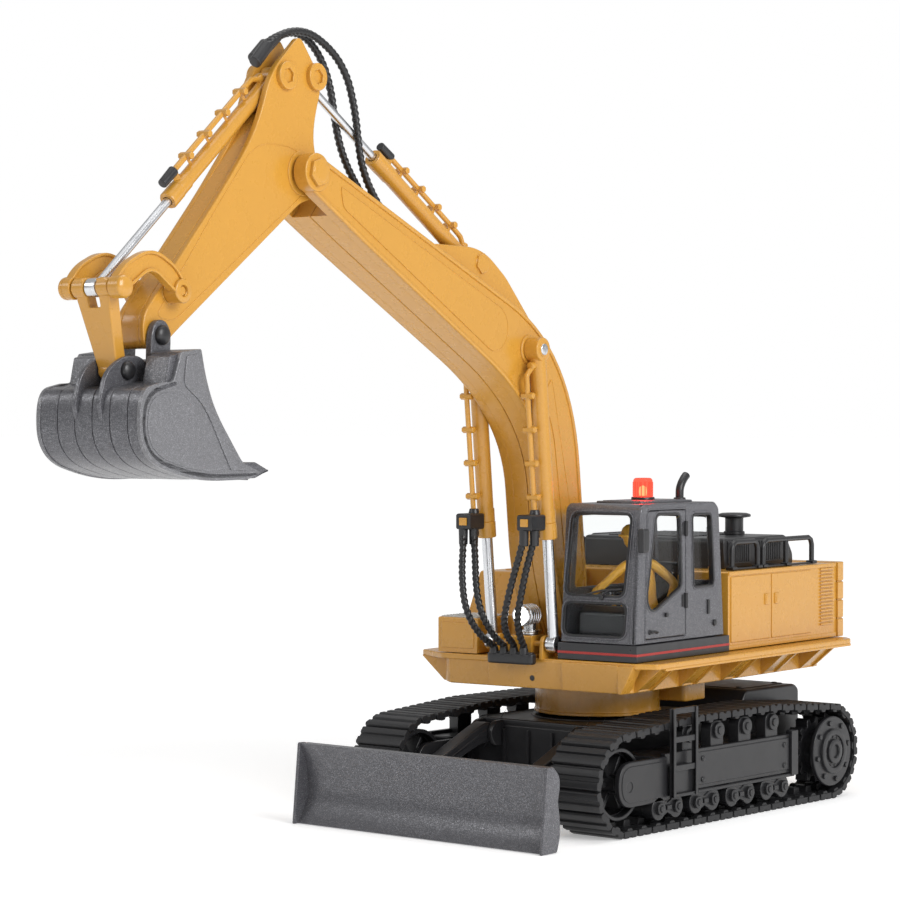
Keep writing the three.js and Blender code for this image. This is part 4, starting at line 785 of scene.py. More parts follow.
def blade():
    form = Form()
    # One hollow face from the cutting edge to the lip, deepest below the middle.
    front = []
    for i in range(25):
        z = BLADE_LOW + BLADE_HEIGHT * i / 24
        rise = (z - 19) / 23
        front.append([-143.6 - (6 if rise > 0 else 12) * rise * rise, z])
    back = [[-142.6, 41.8, 1.5], [-139.8, 38], [-139.8, 6], [-148, 0.4]]
    form.plate("X", front + back, -80.8, 80.8, edge=0.35)
    end = [
        [-153.8, 0.2], [-149.7, 42, 1], [-145, 42, 1], [-140.2, 37.4, 2], [-139.6, 31, 3],
        [-141.5, 25.5, 3], [-140, 18, 3], [-139.5, 8, 3], [-142, 0.3, 1],
    ]
    for x0, x1 in ((-82.5, -80.6), (80.6, 82.5)):
        form.plate("X", end, x0, x1, edge=0.35)
    for x in (-58, -33, 0, 33, 58):
        form.plate("X", [[-143, 4], [-139.6, 8], [-139.6, 34], [-144, 37]], x - 0.9, x + 0.9, edge=0.3)
    for z in (8, 30):
        form.block(-80.8, 80.8, -142.4, -139.5, z - 1, z + 1, 0.4)
    piece("blade_panel", form, "dozer_blade", GREY, ["blade"], LOWER)

    form = Form()
    arm = [
        [-56, 49.3, 5], [-50.6, 43.5, 5], [-56, 38, 5], [-64, 37.4, 4], [-139.4, 12, 1], [-139.4, 23, 1],
        [-96, 33.6, 8], [-64, 47.4, 8],
    ]
    for x in (-33.4, 33.4):
        form.plate("X", arm, x - 4.3, x + 4.3, edge=0.9)
        form.plate("X", inset(arm, 3.2), x - 4.7, x + 4.7, edge=0.5)
        form.pin(BLADE_HINGE, x - 7, x + 7, 2, 20)
    form.block(-33, 33, -128, -119, 17, 21.4, 0.8)
    piece("blade_push_arms", form, "dozer_blade", BLACK, ["blade_arms"], LOWER)


blade()

# ------------------------------------------------------------------ turntable and platform
def turntable():
    form = Form()
    form.lathe(
        [
            (33.8, 0.4), (33.8, 29.6), (33.4, 30), (0, 30), (0, 27.6), (31.6, 27.6), (31.6, 0.4), (32, 0),
            (33.4, 0),
        ],
        (0, 0, 52.2), (0, 0, 1), 96,
    )
    form.lathe([(33.6, 0), (34.4, 0.4), (34.4, 1.6), (33.6, 2)], (0, 0, 52.2), (0, 0, 1), 96)
    form.plate(
        "Z", [[20, 19.6, 3], [44, 19.6, 3], [44, 42, 4], [14, 42, 3], [12, 30]], 57.8, 69.2, edge=0.9,
    )
    piece("slew_ring", form, "upper_structure", YELLOW, ["turntable"])


turntable()

DECK_LOW = 82.5
DECK_TOP = 85.5
BOOM_X = -5.0


def span(sign, near, far):
    """From near to far on one side of the boom's middle."""
    return BOOM_X + sign * near, BOOM_X + sign * far


def astride(half):
    """The same distance on both sides of the boom's middle."""
    return BOOM_X - half, BOOM_X + half


def platform():
    form = Form()
    deck = [
        [-55, -68, 2], [66, -68, 2], [77, -62, 2], [77, 147, 3], [70, 155, 3], [-70, 155, 3],
        [-77, 147, 3], [-77, -56, 2],
    ]
    form.plate("Z", deck, DECK_LOW, DECK_TOP, edge=0.6)
    skirt = [
        [-51, -65.6], [57, -65.6], [60, -60, 2], [60, 138, 2], [50, 152, 2], [-50, 152, 2], [-60, 138, 2],
        [-60, -58, 2],
    ]
    form.plate("Z", skirt, 69.5, 82.6, [inset(skirt, 2.6)], edge=0.5)
    for (x0, x1), y in (((-51.4, -24.7), -67.2), ((-25.1, 22.5), -68.2), ((22.1, 57), -69.2)):
        face = [[-65, 69.7], [y + 1.4, 69.7, 0.5], [y, 84.4, 0.5], [-65, 84.4]]
        form.plate("X", face, x0, x1, edge=0.45)
    corner = [[69.7, 56.6], [69.7, 59], [84.2, 66.4], [84.2, 56.6]]
    form.plate("Y", corner, -69, -60, edge=0.4)
    for y0 in (-57, -13.5, 30, 73.5, 117):
        for sign in (1, -1):
            for y in (y0, y0 + 15):
                fin = [[69.8, sign * 59], [69.8, sign * 60.8], [82.6, sign * 75.8], [82.6, sign * 59]]
                form.plate("Y", fin, y - 0.9, y + 0.9, edge=0.3)
            slope = [[70.8, sign * 59], [70.8, sign * 60.4], [82.6, sign * 73.4], [82.6, sign * 59]]
            form.plate("Y", slope, y0, y0 + 15, edge=0.2)
    for x0, x1 in ((74.6, 77.2), (-77.2, -74.6)):
        form.block(x0, x1, -55, 146, 81.4, 82.8, 0.3)
    for x in (BOOM_X + 15.4, BOOM_X - 18.6):
        form.plate("X", [[-50, 85], [-18, 85], [-22, 112, 10], [-46, 112, 10]], x, x + 3.2, edge=0.5)
        form.dome((-34, 103), x + 1.6, x + 1.6 + math.copysign(2.6, x - BOOM_X), 5.4)
    form.block(*astride(7.5), -67.4, -52, 85, 97, 0.9)
    form.block(*astride(10), -66, -50, 85, 87.4, 0.6)
    form.pin((-64, 93), BOOM_X - 22.3, BOOM_X + 21.9, 1.5, 24)
    for x in (BOOM_X + 13.2, BOOM_X - 15.4):
        form.plate("X", [[-69, 85], [-58, 85], [-60, 97.4, 4], [-68, 97.4, 4]], x, x + 2.2, edge=0.4)
    piece("platform_tray", form, "upper_structure", YELLOW, ["platform"])

    # A thin black disc stands in for the dark inside of a hole in the front skirt: painted shade.
    form = Form()
    form.lathe([(0, 0), (1.5, 0), (1.5, 0.3), (0, 0.4)], (3, -67.1, 75), (0, -1, -0.1), 20)
    piece("front_skirt_hole", form, "upper_structure", BLACK)


platform()

# ------------------------------------------------------------------ housings
def body_housing():
    form = Form()
    form.block(-59, 65.2, 28, 150.4, 85.9, 128.2, 1.0)
    for y0, y1 in ((30.6, 73.8), (74.8, 120.4)):
        panel = rect(y0, y1, 90, 125.4, 1)
        form.plate("X", panel, 64.6, 65.9, edge=0.35)
        form.plate("X", panel, -59.6, -58.4, edge=0.35)
    for y in (66.5, 77.5):
        form.plate("X", rect(y, y + 4.6, 108.6, 114.8, 0.6), 65.4, 66.6, edge=0.3)
        form.plate("X", rect(y + 0.9, y + 3.7, 109.6, 113.8), 66.2, 66.9, edge=0.25)
    for i in range(17):
        z = 93.4 + i * 1.95
        for x0, x1 in ((64.8, 66.2), (-60.1, -58.8)):
            form.plate("X", rect(131, 146, z, z + 1.15), x0, x1, edge=0.3)
    for z0, z1 in ((86, 88.6), (126, 128.2)):
        form.block(64.5, 65.7, 28.4, 150, z0, z1, 0.3)
    piece("body_panels", form, "upper_structure", YELLOW, ["body_housing"])

    form = Form()
    back = [[-60, 150.7], [66.4, 150.7], [66.4, 161.4, 9], [-60, 161.4, 9]]
    for z0, z1 in ((85.8, 96), (96.7, 106.6), (107.3, 117.2), (117.9, 128.6)):
        form.plate("Z", back, z0, z1, edge=0.5, steps=10)
    form.plate("Z", inset(back, 0.8), 86.5, 128, edge=0.3, steps=10)
    form.plate("Y", rect(104, 112, -22, 22, 2, swap=True), 160.6, 161.7, edge=0.3)
    piece("counterweight_block", form, "upper_structure", YELLOW, ["counterweight"])


body_housing()


def right_housing():
    form = Form()
    tool = [[-66.4, 85.9], [-66.4, 104.6, 1], [-38, 104.6], [-38, 85.9]]
    tank = [[-39, 85.9], [-39, 104.8, 1], [-27.4, 127.6, 2], [27.2, 127.6, 1], [27.2, 85.9]]
    form.plate("X", tool, -58.9, -32.6, edge=0.8)
    form.plate("X", tank, -58.9, -24.3, edge=0.9)
    form.plate("X", [[-30, 90], [-26, 123], [23, 123], [23, 90]], -59.3, -58.2, edge=0.4)
    form.plate("Z", rect(-52, -31, -14, 16, 2), 127.2, 128.2, edge=0.4)
    form.lathe([(0, 0), (5.6, 0), (5.6, 2.4), (4.8, 3), (0, 3)], (-41, 1, 128), (0, 0, 1), 40)
    form.plate("Y", rect(88.4, 102, -56.4, -35, 1, swap=True), -66.9, -66, edge=0.3)
    form.paint = 1
    form.plate("Z", rect(-57.6, -33.8, -65.2, -40, 0.6), 104.4, 105.2, edge=0.25)
    for i in range(9):
        for j in range(9):
            x = -56 + i * 2.65
            y = -63.8 + j * 2.85
            turn = 1 if (i + j) % 2 else -1
            a = Vector((x - 0.7, y - 0.5 * turn))
            b = Vector((x + 0.7, y + 0.5 * turn))
            form.rod((a.x, a.y, 105.2), (b.x, b.y, 105.2), 0.34, sides=8, edge=0.15)
    piece("tool_box_and_tank", form, "upper_structure", [YELLOW, PALE], ["right_housing"])


right_housing()


def engine_cover():
    form = Form()
    hood = [[51, 128.5], [129, 128.5], [129, 134, 2], [121, 145, 3], [51, 145, 3]]
    form.plate("X", hood, -42, 49.2, edge=1.2)
    for y0, y1 in ((55, 80), (86, 116)):
        form.plate(
            "X", [[y0, 130.4, 1], [y1, 130.4, 1], [y1 - 1.5, 143.4, 1], [y0, 143.4, 1]], 48.6, 50,
            edge=0.4,
        )
        for k in range(int((y1 - y0 - 3) / 2.1)):
            y = y0 + 2 + k * 2.1
            form.plate("X", rect(y, y + 1.2, 131.6, 142.4), 49.4, 50.8, edge=0.35)
    for k in range(18):
        form.block(-30, 22, 58 + k * 3.4, 59.8 + k * 3.4, 144.4, 145.6, 0.3)
    for x in (60.5, -53):
        for y0, y1 in ((40, 68), (74, 130)):
            route = [(x, y0, 128.6), (x, y0, 139.4), (x, y0 + 1.2, 142.2), (x, y0 + 4, 143.5)]
            route += [(x, y1 - 4, 143.5), (x, y1 - 1.2, 142.2), (x, y1, 139.4), (x, y1, 128.6)]
            form.tube(route, 1.45, sides=16, straight=True)
        form.tube([(x, 100, 128.6), (x, 100, 143.4)], 1.45, sides=16, straight=True)
        for y in (40, 68, 74, 100, 130):
            form.block(x - 2.2, x + 2.2, y - 2.4, y + 2.4, 128.5, 130.4, 0.4)
        form.block(x - 1.2, x + 1.2, 40, 130, 128.5, 129.6, 0.3)
        inner = 49 if x > 0 else -41
        form.block(min(inner, x), max(inner, x), 96, 99, 128.5, 129.6, 0.3)
    piece("louvred_engine_cover", form, "upper_structure", BLACK, ["engine_cover"])

    form = Form()
    stack = [
        (0, 0), (6, 0), (6, 1.4), (5.2, 1.8), (5.2, 8.6), (5.4, 9.2), (9.2, 9.8), (9.4, 10.2), (9.4, 11),
    ]
    stack += [(9, 11.4), (7, 12), (5.2, 12), (4.4, 11.4), (4.2, 4), (0, 4)]
    form.lathe(stack, (25, 104, 145.3), (0, 0, 1), 48)
    piece("exhaust_pipe", form, "upper_structure", BLACK, ["exhaust_stack"])


engine_cover()

# ------------------------------------------------------------------ cab
CAB_RIGHT = 19.4
CAB_LEFT = 65.5
CAB_FRONT = -65.2
CAB_FLOOR = 94.9
FRONT_RISE = 69.1
FRONT_LEAN = 4.9
BACK_FOOT = 23.2
BACK_RISE = 68.1
BACK_LEAN = 5.4
CAB_PROFILE = [
    [-65.2, 94.9], [-60.3, 164, 2.5], [-57, 166.4, 1.5], [13.5, 166.4, 1.5], [17.8, 163, 2], [23.2, 94.9],
]
DOORWAY = [[-56.4, 97, 1], [-53.8, 163, 2], [-16.6, 163, 1], [-16.6, 97, 1]]
DOOR_WINDOW = [[-45.6, 161, 3.5], [-22.6, 160.6, 4], [-20.8, 123, 3], [-49.6, 110.6, 6], [-55, 116.5, 5]]
REAR_WINDOW = [[-9.4, 160, 3], [9.2, 159.9, 3], [12.4, 122.2, 3], [-8, 122, 3]]
RIGHT_WINDOW = [[-50, 160, 3], [9, 160, 3], [12, 122, 3], [-54, 122, 3]]


def lean(z):
    """The y of the cab's front face, which leans back."""
    return CAB_FRONT + (z - CAB_FLOOR) / FRONT_RISE * FRONT_LEAN


def leaning(p):
    return Vector((p.x, p.y + lean(p.z), p.z))


def back_leaning(p):
    return Vector((p.x, p.y + BACK_FOOT - (p.z - CAB_FLOOR) / BACK_RISE * BACK_LEAN, p.z))


def frame_ring(x0, x1, z0, z1, reach):
    return rect(z0, z1, x0, x1, reach, swap=True)


def cab_base():
    form = Form()
    band = rect(18.3, 66.5, -66.2, 27)
    form.plate("Z", band, 85.8, 94.5, edge=0.35)
    desk = [[-58, 94], [-44, 94], [-44, 108, 2], [-52, 114, 2], [-58, 110, 2]]
    form.plate("X", desk, 26, 58, edge=0.8)
    form.plate("X", [[-56, 100], [-54, 112, 1], [-52, 113, 1], [-50, 100]], 30, 54, edge=0.5)
    form.tube([(42, -50, 109), (42, -45, 113), (42, -42, 117)], 1.1, sides=12)
    wheel = [
        (42 + 5.6 * math.cos(a), -41.6 + 4.6 * math.sin(a) * 0.8, 117 + 4.6 * math.sin(a) * 0.6)
        for a in [i * math.pi / 12 for i in range(24)]
    ]
    form.tube(wheel, 0.75, sides=10, straight=True, cyclic=True)
    for x in (32, 52):
        form.tube([(x, -44, 106), (x, -41, 112), (x, -39, 118)], 0.8, sides=10)
        form.lathe([(0, 0), (1.6, 0.5), (2, 2), (1.5, 3.6), (0, 4)], (x, -39, 117), (0, 0.4, 1), 20)
    form.block(24, 62, -56, 20, 94.2, 95.6, 0.3)
    form.paint = 1
    stripe = rect(18.15, 66.65, -66.35, 27.15)
    form.plate("Z", stripe, 88.9, 90.2, edge=0.1)
    piece("cab_band_and_desk", form, "upper_structure", [SATIN, STRIPE], ["cab_base"])


def cab_shell():
    form = Form()
    left_holes = [DOORWAY, REAR_WINDOW]
    form.plate("X", CAB_PROFILE, CAB_LEFT - 3, CAB_LEFT, left_holes, edge=0.7)
    form.plate("X", CAB_PROFILE, CAB_RIGHT, CAB_RIGHT + 1.8, [RIGHT_WINDOW], edge=0.8)
    x0 = CAB_RIGHT + 0.7
    x1 = CAB_LEFT - 0.7
    screen = [[119.4, 21.6, 4], [119.4, 56.8, 4], [161.2, 59.8, 4], [161.2, 24.2, 4]]
    lower = [[98.6, 21.4, 4], [98.6, 57.8, 4], [115.2, 58.6, 4], [115.2, 21.6, 4]]
    face = rect(CAB_FLOOR, 163.6, x0, x1, swap=True)
    form.plate("Y", face, 0, 2.4, [screen, lower], edge=0.3, bend=leaning)
    # Stepped mouldings round the front openings, the inner ones black.
    for opening in (screen, lower):
        form.plate("Y", inset(opening, -1.9), -0.7, 0.6, [inset(opening, -1.2)], 0.25, leaning)
        form.paint = 1
        form.plate("Y", inset(opening, -0.8), -0.35, 1.8, [inset(opening, 0.35)], 0.25, leaning)
        form.paint = 0
    form.plate("Y", rect(97, 159.6, 61.6, 62.3, swap=True), -0.3, 0.4, edge=0.1, bend=leaning)
    back = rect(CAB_FLOOR, 163, x0, x1, swap=True)
    form.plate("Y", back, -2.4, 0, [frame_ring(26, 59, 124, 158, 3)], edge=0.3, bend=back_leaning)
    form.plate(
        "Y", frame_ring(24, 61, 122, 160, 4), -0.4, 0.7, [frame_ring(26, 59, 124, 158, 3)], 0.3,
        back_leaning,
    )
    strip = [
        [-60.5, 161], [-60.3, 164, 2.5], [-57, 166.4, 1.5], [13.5, 166.4, 1.5], [17.8, 163, 2],
        [17.9, 161], [15.6, 160.6], [12.8, 164], [-56.6, 164], [-58.4, 160.6],
    ]
    form.plate("X", strip, x0, x1, edge=0.2)
    panel = rect(28, 57, -46, 6, 3)
    form.plate("Z", panel, 166, 167.5, edge=0.5)
    form.plate("Z", rect(30.4, 54.6, -43, 3, 2), 167.2, 167.8, edge=0.2)
    # Raised seam round the doorway and the window rims.
    form.plate("X", inset(DOORWAY, -1), CAB_LEFT - 1.6, CAB_LEFT + 0.25, [inset(DOORWAY, -0.3)], edge=0.2)
    form.plate(
        "X", inset(REAR_WINDOW, -1.9), CAB_LEFT - 1, CAB_LEFT + 0.3, [inset(REAR_WINDOW, -1.2)], edge=0.2,
    )
    form.paint = 1
    form.plate(
        "X", inset(REAR_WINDOW, -0.8), CAB_LEFT - 2.4, CAB_LEFT + 0.4, [inset(REAR_WINDOW, 0.3)],
        edge=0.3,
    )
    form.plate(
        "X", inset(RIGHT_WINDOW, -0.9), CAB_RIGHT - 0.3, CAB_RIGHT + 1.4, [inset(RIGHT_WINDOW, 0.3)],
        edge=0.3,
    )
    # Latch plate, lock, mirror arm and mirror, and the wiper.
    form.plate("X", rect(5.4, 7.6, 107, 114.6), CAB_LEFT - 0.3, CAB_LEFT + 0.9, edge=0.3)
    form.pin((12.8, 102), CAB_LEFT - 0.3, CAB_LEFT + 1.1, 1.7, 24)
    form.tube([(64.6, -58.8, 150.6), (67.2, -59.2, 151.4), (68.2, -60.6, 151)], 0.6, sides=10)
    mirror = rect(-65, -57.8, 142, 154.2, 2)
    form.plate("X", mirror, 67.4, 69.2, edge=0.7)
    form.plate("Y", rect(142, 154.2, 66.4, 70, 1, swap=True), -65.2, -64, edge=0.5)
    y = lean(121) - 1.2
    form.tube([(34.9, y, 119.8), (45, y, 122.2), (56.4, y + 0.3, 123)], 0.55, sides=10, straight=True)
    form.tube([(44, y + 0.6, 118.6), (46, y - 0.4, 120.4), (49.5, y - 0.3, 122.6)], 0.6, sides=10)
    form.rod((44, y + 1.6, 118.4), (44, y - 0.6, 118.4), 1.3, sides=20)
    piece("cab_body", form, "upper_structure", [GREY, BLACK], ["cab_shell"])


def cab_glass():
    form = Form()
    form.plate("Y", frame_ring(22.2, 61, 97.6, 162.8, 1), 2.5, 3.3, edge=0.1, bend=leaning)
    piece("front_glass", form, "upper_structure", GLASS, ["windscreen"])
    form = Form()
    form.plate("X", inset(REAR_WINDOW, -1.3), CAB_LEFT - 4.0, CAB_LEFT - 3.2, edge=0.1)
    piece("side_glass", form, "upper_structure", GLASS, ["side_window"])
    form = Form()
    form.plate("X", inset(DOOR_WINDOW, -1.1), CAB_LEFT - 2.9, CAB_LEFT - 2.1, edge=0.1)
    piece("door_glass", form, "cab_door", GLASS, ["door_window"])


def cab_door():
    form = Form()
    outline = [[-56.1, 97.3, 1], [-53.5, 162.7, 2], [-17.1, 162.7, 1], [-17.1, 97.3, 1]]
    form.plate("X", outline, CAB_LEFT - 1.9, CAB_LEFT + 0.1, [DOOR_WINDOW], edge=0.35)
    rim = inset(DOOR_WINDOW, -2.0)
    form.plate("X", rim, CAB_LEFT - 1, CAB_LEFT + 0.35, [inset(DOOR_WINDOW, -1.3)], edge=0.15)
    form.paint = 1
    form.plate(
        "X", inset(DOOR_WINDOW, -0.9), CAB_LEFT - 1.6, CAB_LEFT + 0.45, [inset(DOOR_WINDOW, 0.3)],
        edge=0.3,
    )
    for z in (115.4, 153):
        form.rod((66.2, -17, z - 4), (66.2, -17, z + 4), 1.1, sides=20)
        form.block(65.2, 66.0, -20.4, -17, z - 3.2, z + 3.2, 0.25)
    form.block(65.4, 66.8, -37.6, -35.4, 107.8, 110, 0.35)
    form.tube(
        [
            (65.4, -52, 100.6), (67, -51.6, 100.8), (67.2, -49, 101), (67, -46.4, 100.4),
            (65.4, -46, 100.2),
        ],
        0.6, sides=10,
    )
    form.pin((-52, 100.6), 65.3, 66.2, 1.3, 20)
    piece("cab_door_panel", form, "cab_door", [GREY, BLACK], ["cab_door"])


def driver():
    form = Form()
    form.plate("X", [[-22, 95, 1], [0, 95, 1], [0, 104, 3], [-22, 104, 3]], 32, 52, edge=1.4)
    form.plate("X", [[-4, 100, 1], [2, 100, 1], [8, 134, 3], [2, 134, 3]], 33, 51, edge=1.4)
    form.plate("X", [[-3, 112, 1], [-1, 112, 1], [3.6, 130, 1], [1, 130, 1]], 37, 47, edge=0.8)
    piece("driver_seat_moulding", form, "upper_structure", BLACK, ["driver_seat"])

    form = Form()
    body = [(0, 0), (5.6, 0.4), (6.6, 4), (6.2, 12), (7, 20), (7.4, 27), (6, 31), (3, 33.4), (0, 34)]
    form.lathe(body, (39.5, -11, 104.2), (0, -0.3, 1), 36, squash=(1, 0.7, 1))
    form.rod((39, -20, 135), (38.5, -25.6, 144), 2.9, 2.5, sides=24)
    head = [(0, 0), (2.7, 0.6), (4.2, 2.8), (4.6, 5.6), (4.1, 8.4), (2.5, 10.3), (0, 10.9)]
    form.lathe(head, (38.5, -25.8, 142.4), (0, -0.2, 1), 36, squash=(0.9, 1, 1))
    helmet = [(0, 0), (5.1, 0), (5.3, 0.7), (5.1, 2.8), (3.9, 5), (2.1, 6.3), (0, 6.7)]
    form.lathe(helmet, (38.5, -27.1, 148.4), (0, -0.2, 1), 36)
    form.plate(
        "Z", [[34.3, -27, 2], [34.3, -35, 3.5], [42.7, -35, 3.5], [42.7, -27, 2]], 148.6, 149.7,
        edge=0.35,
    )
    left_arm = [
        (44, -19, 134.4), (47.5, -18.4, 133), (52, -15, 128.4), (55, -12, 124), (55, -12.6, 119.6),
        (53.6, -15, 113),
    ]
    right_arm = [
        (35, -19, 134.4), (32, -23, 132.4), (30.4, -28, 129.2), (29.4, -32, 126.6), (28.2, -37, 123.4),
        (27, -42, 120.6),
    ]
    for arm in (left_arm, right_arm):
        form.tube(arm, 2.5, sides=18, steps=6, bumps=lambda gone, angle: 1.1 - gone * 0.011)
        reach = (Vector(arm[-1]) - Vector(arm[-2])).normalized()
        hand = Vector(arm[-1]) - reach
        form.lathe([(0, 0), (1.6, 0.5), (2, 2), (1.5, 3.8), (0, 4.4)], hand, reach, 20)
    for x in (35.5, 43.5):
        leg = [
            (x, -10, 107.4), (x, -20, 109.6), (x, -29, 112), (x, -35, 112.6), (x, -38, 108),
            (x, -38.6, 98.4),
        ]
        form.tube(leg, 2.9, sides=18, steps=6, bumps=lambda gone, angle: 1.08 - gone * 0.006)
        form.block(x - 2.3, x + 2.3, -42.6, -35.6, 95.8, 98.8, 0.8)
    piece(
        "driver_toy_figure", form, "upper_structure", FIGURE, ["driver_figure"],
        sharp=70,
    )


def roof_fittings():
    form = Form()
    at = (42, -21, 167.9)
    form.lathe([(0, 0), (6.2, 0), (6.2, 1), (5.8, 1.4), (0, 1.4)], at, (0, 0, 1), 48)
    form.paint = 1
    form.lathe([(0, 1.3), (5.2, 1.3), (5.2, 9.6), (4.8, 10.8), (3.9, 11.4), (0, 11.5)], at, (0, 0, 1), 48)
    for k in range(16):
        a = 2 * math.pi * k / 16
        x = at[0] + 5.2 * math.cos(a)
        y = at[1] + 5.2 * math.sin(a)
        form.rod((x, y, at[2] + 1.6), (x, y, at[2] + 9.2), 0.28, sides=8, edge=0.1)
    form.paint = 2
    form.lathe([(0, 2), (1.6, 2), (1.9, 4), (1.6, 6.6), (0, 7.4)], at, (0, 0, 1), 20)
    piece("beacon_lens", form, "upper_structure", [BLACK, RED, GLOW], ["beacon"])

    form = Form()
    form.rod((46, 9.6, 166.6), (46, 9.6, 168.4), 3.4, 3.2, sides=32)
    bend = [
        (46, 9.6, 167), (46, 9.6, 170), (46, 9.9, 173), (46, 11.6, 176), (46, 14.2, 178.6),
        (46, 16.4, 180.2),
    ]
    form.tube(bend, 2.2, sides=28)
    piece("roof_snorkel", form, "upper_structure", BLACK, ["roof_pipe"])


GLOW = moulded(
    "beacon_core", linear(255, 120, 90), 0.4, Emission_Color=(1.0, 0.25, 0.12, 1), Emission_Strength=9.0,
)
cab_base()
cab_shell()
cab_glass()
cab_door()
driver()
roof_fittings()


# ------------------------------------------------------------------ lamp and grommet
def front_fittings():
    x = BOOM_X + 0.5
    z = 107.2
    form = Form()
    form.lathe(
        [(0, 0), (5.4, 0), (5.4, 1.4), (4.6, 1.8), (4, 2.4), (4, 7), (0, 7)], (x, -58, 97.3), (0, 0, 1),
        40,
    )
    form.lathe(
        [(5.6, 0), (5.9, 0.3), (5.9, 1.1), (5.6, 1.4), (3, 1.4), (3, 0)], (x, -58, 98.2), (0, 0, 1), 40,
    )
    shell = [(0, 0.4), (4, 0), (4.8, 1), (5.1, 2.4)]
    for k in range(5):
        s = 3 + k * 1.9
        shell += [(5.1, s), (5.8, s + 0.35), (5.8, s + 1.15), (5.1, s + 1.5)]
    shell += [(5.2, 13), (5.6, 13.4), (5.6, 14.4), (5.1, 14.8), (4.5, 14.6), (4.4, 13), (0, 13)]
    form.lathe(shell, (x, -52.4, z), (0, -1, 0), 56)
    form.paint = 1
    form.lathe(
        [(0, 12.9), (4.4, 12.9), (4.3, 13.9), (3.4, 14.8), (1.8, 15.3), (0, 15.4)], (x, -52.4, z),
        (0, -1, 0), 48,
    )
    piece("work_lamp_head", form, "upper_structure", [SILVER, LAMP], ["work_lamp"])

    form = Form()
    oval = [[-21, -75.4, 3.4], [8, -75.4, 3.4], [8, -70, 2], [-21, -70, 2]]
    form.plate("Z", oval, 82.4, 88.2, edge=1.1)
    form.plate("Z", inset(oval, 0.9), 87, 88.8, edge=0.4)
    for name, route in LOWER_HOSES.items():
        end = route[-1]
        form.rod((end[0], end[1] - 0.4, 87.6), (end[0], end[1] - 0.8, 91.4), 2.6, 2.1, sides=24)
    piece("hose_grommet_block", form, "upper_structure", BLACK, ["hose_grommet"])


front_fittings()

# ------------------------------------------------------------------ boom
BOOM_HALF = 14.4
CYLINDER_OUT = 19.3
STICK_HALF = 8.0
FOOT = (-34, 103)
BOOM_CYLINDER_TOP = (-79.5, 246)
BOOM_CYLINDER_FOOT = (-64, 93)
ARM_CYLINDER_BASE = (-113.5, 289)
ARM_CYLINDER_END = (-247.4, 369.6)
STICK_PIVOT = (-257, 323.9)
BUCKET_CYLINDER_BASE = (-269.1, 368)
ROCKER_PIVOT = (-347.8, 265.4)
LINK_TOP = (-386.9, 265.7)
LINK_BOTTOM = (-376.2, 230.3)
BUCKET_PIVOT = (-358.2, 245.9)

BOOM_OUTLINE = [
    [-254, 331.6, 3], [-38, 247.3, 62], [-22.4, 112, 5], [-28, 93, 4], [-41, 93, 4], [-48, 110, 8],
    [-56, 134, 10], [-64.6, 212.7, 60], [-222, 294.4, 8], [-262.4, 316.6, 6],
]


def widen(p):
    """The boom is wider towards its tip."""
    return Vector((BOOM_X + (p.x - BOOM_X) * (1 + 0.00093 * (-60 - p.y)), p.y, p.z))


def arc(centre, radius, start, end, count):
    """Points on an arc, in degrees."""
    turns = [math.radians(start + (end - start) * i / count) for i in range(count + 1)]
    return [[centre[0] + radius * math.cos(a), centre[1] + radius * math.sin(a)] for a in turns]


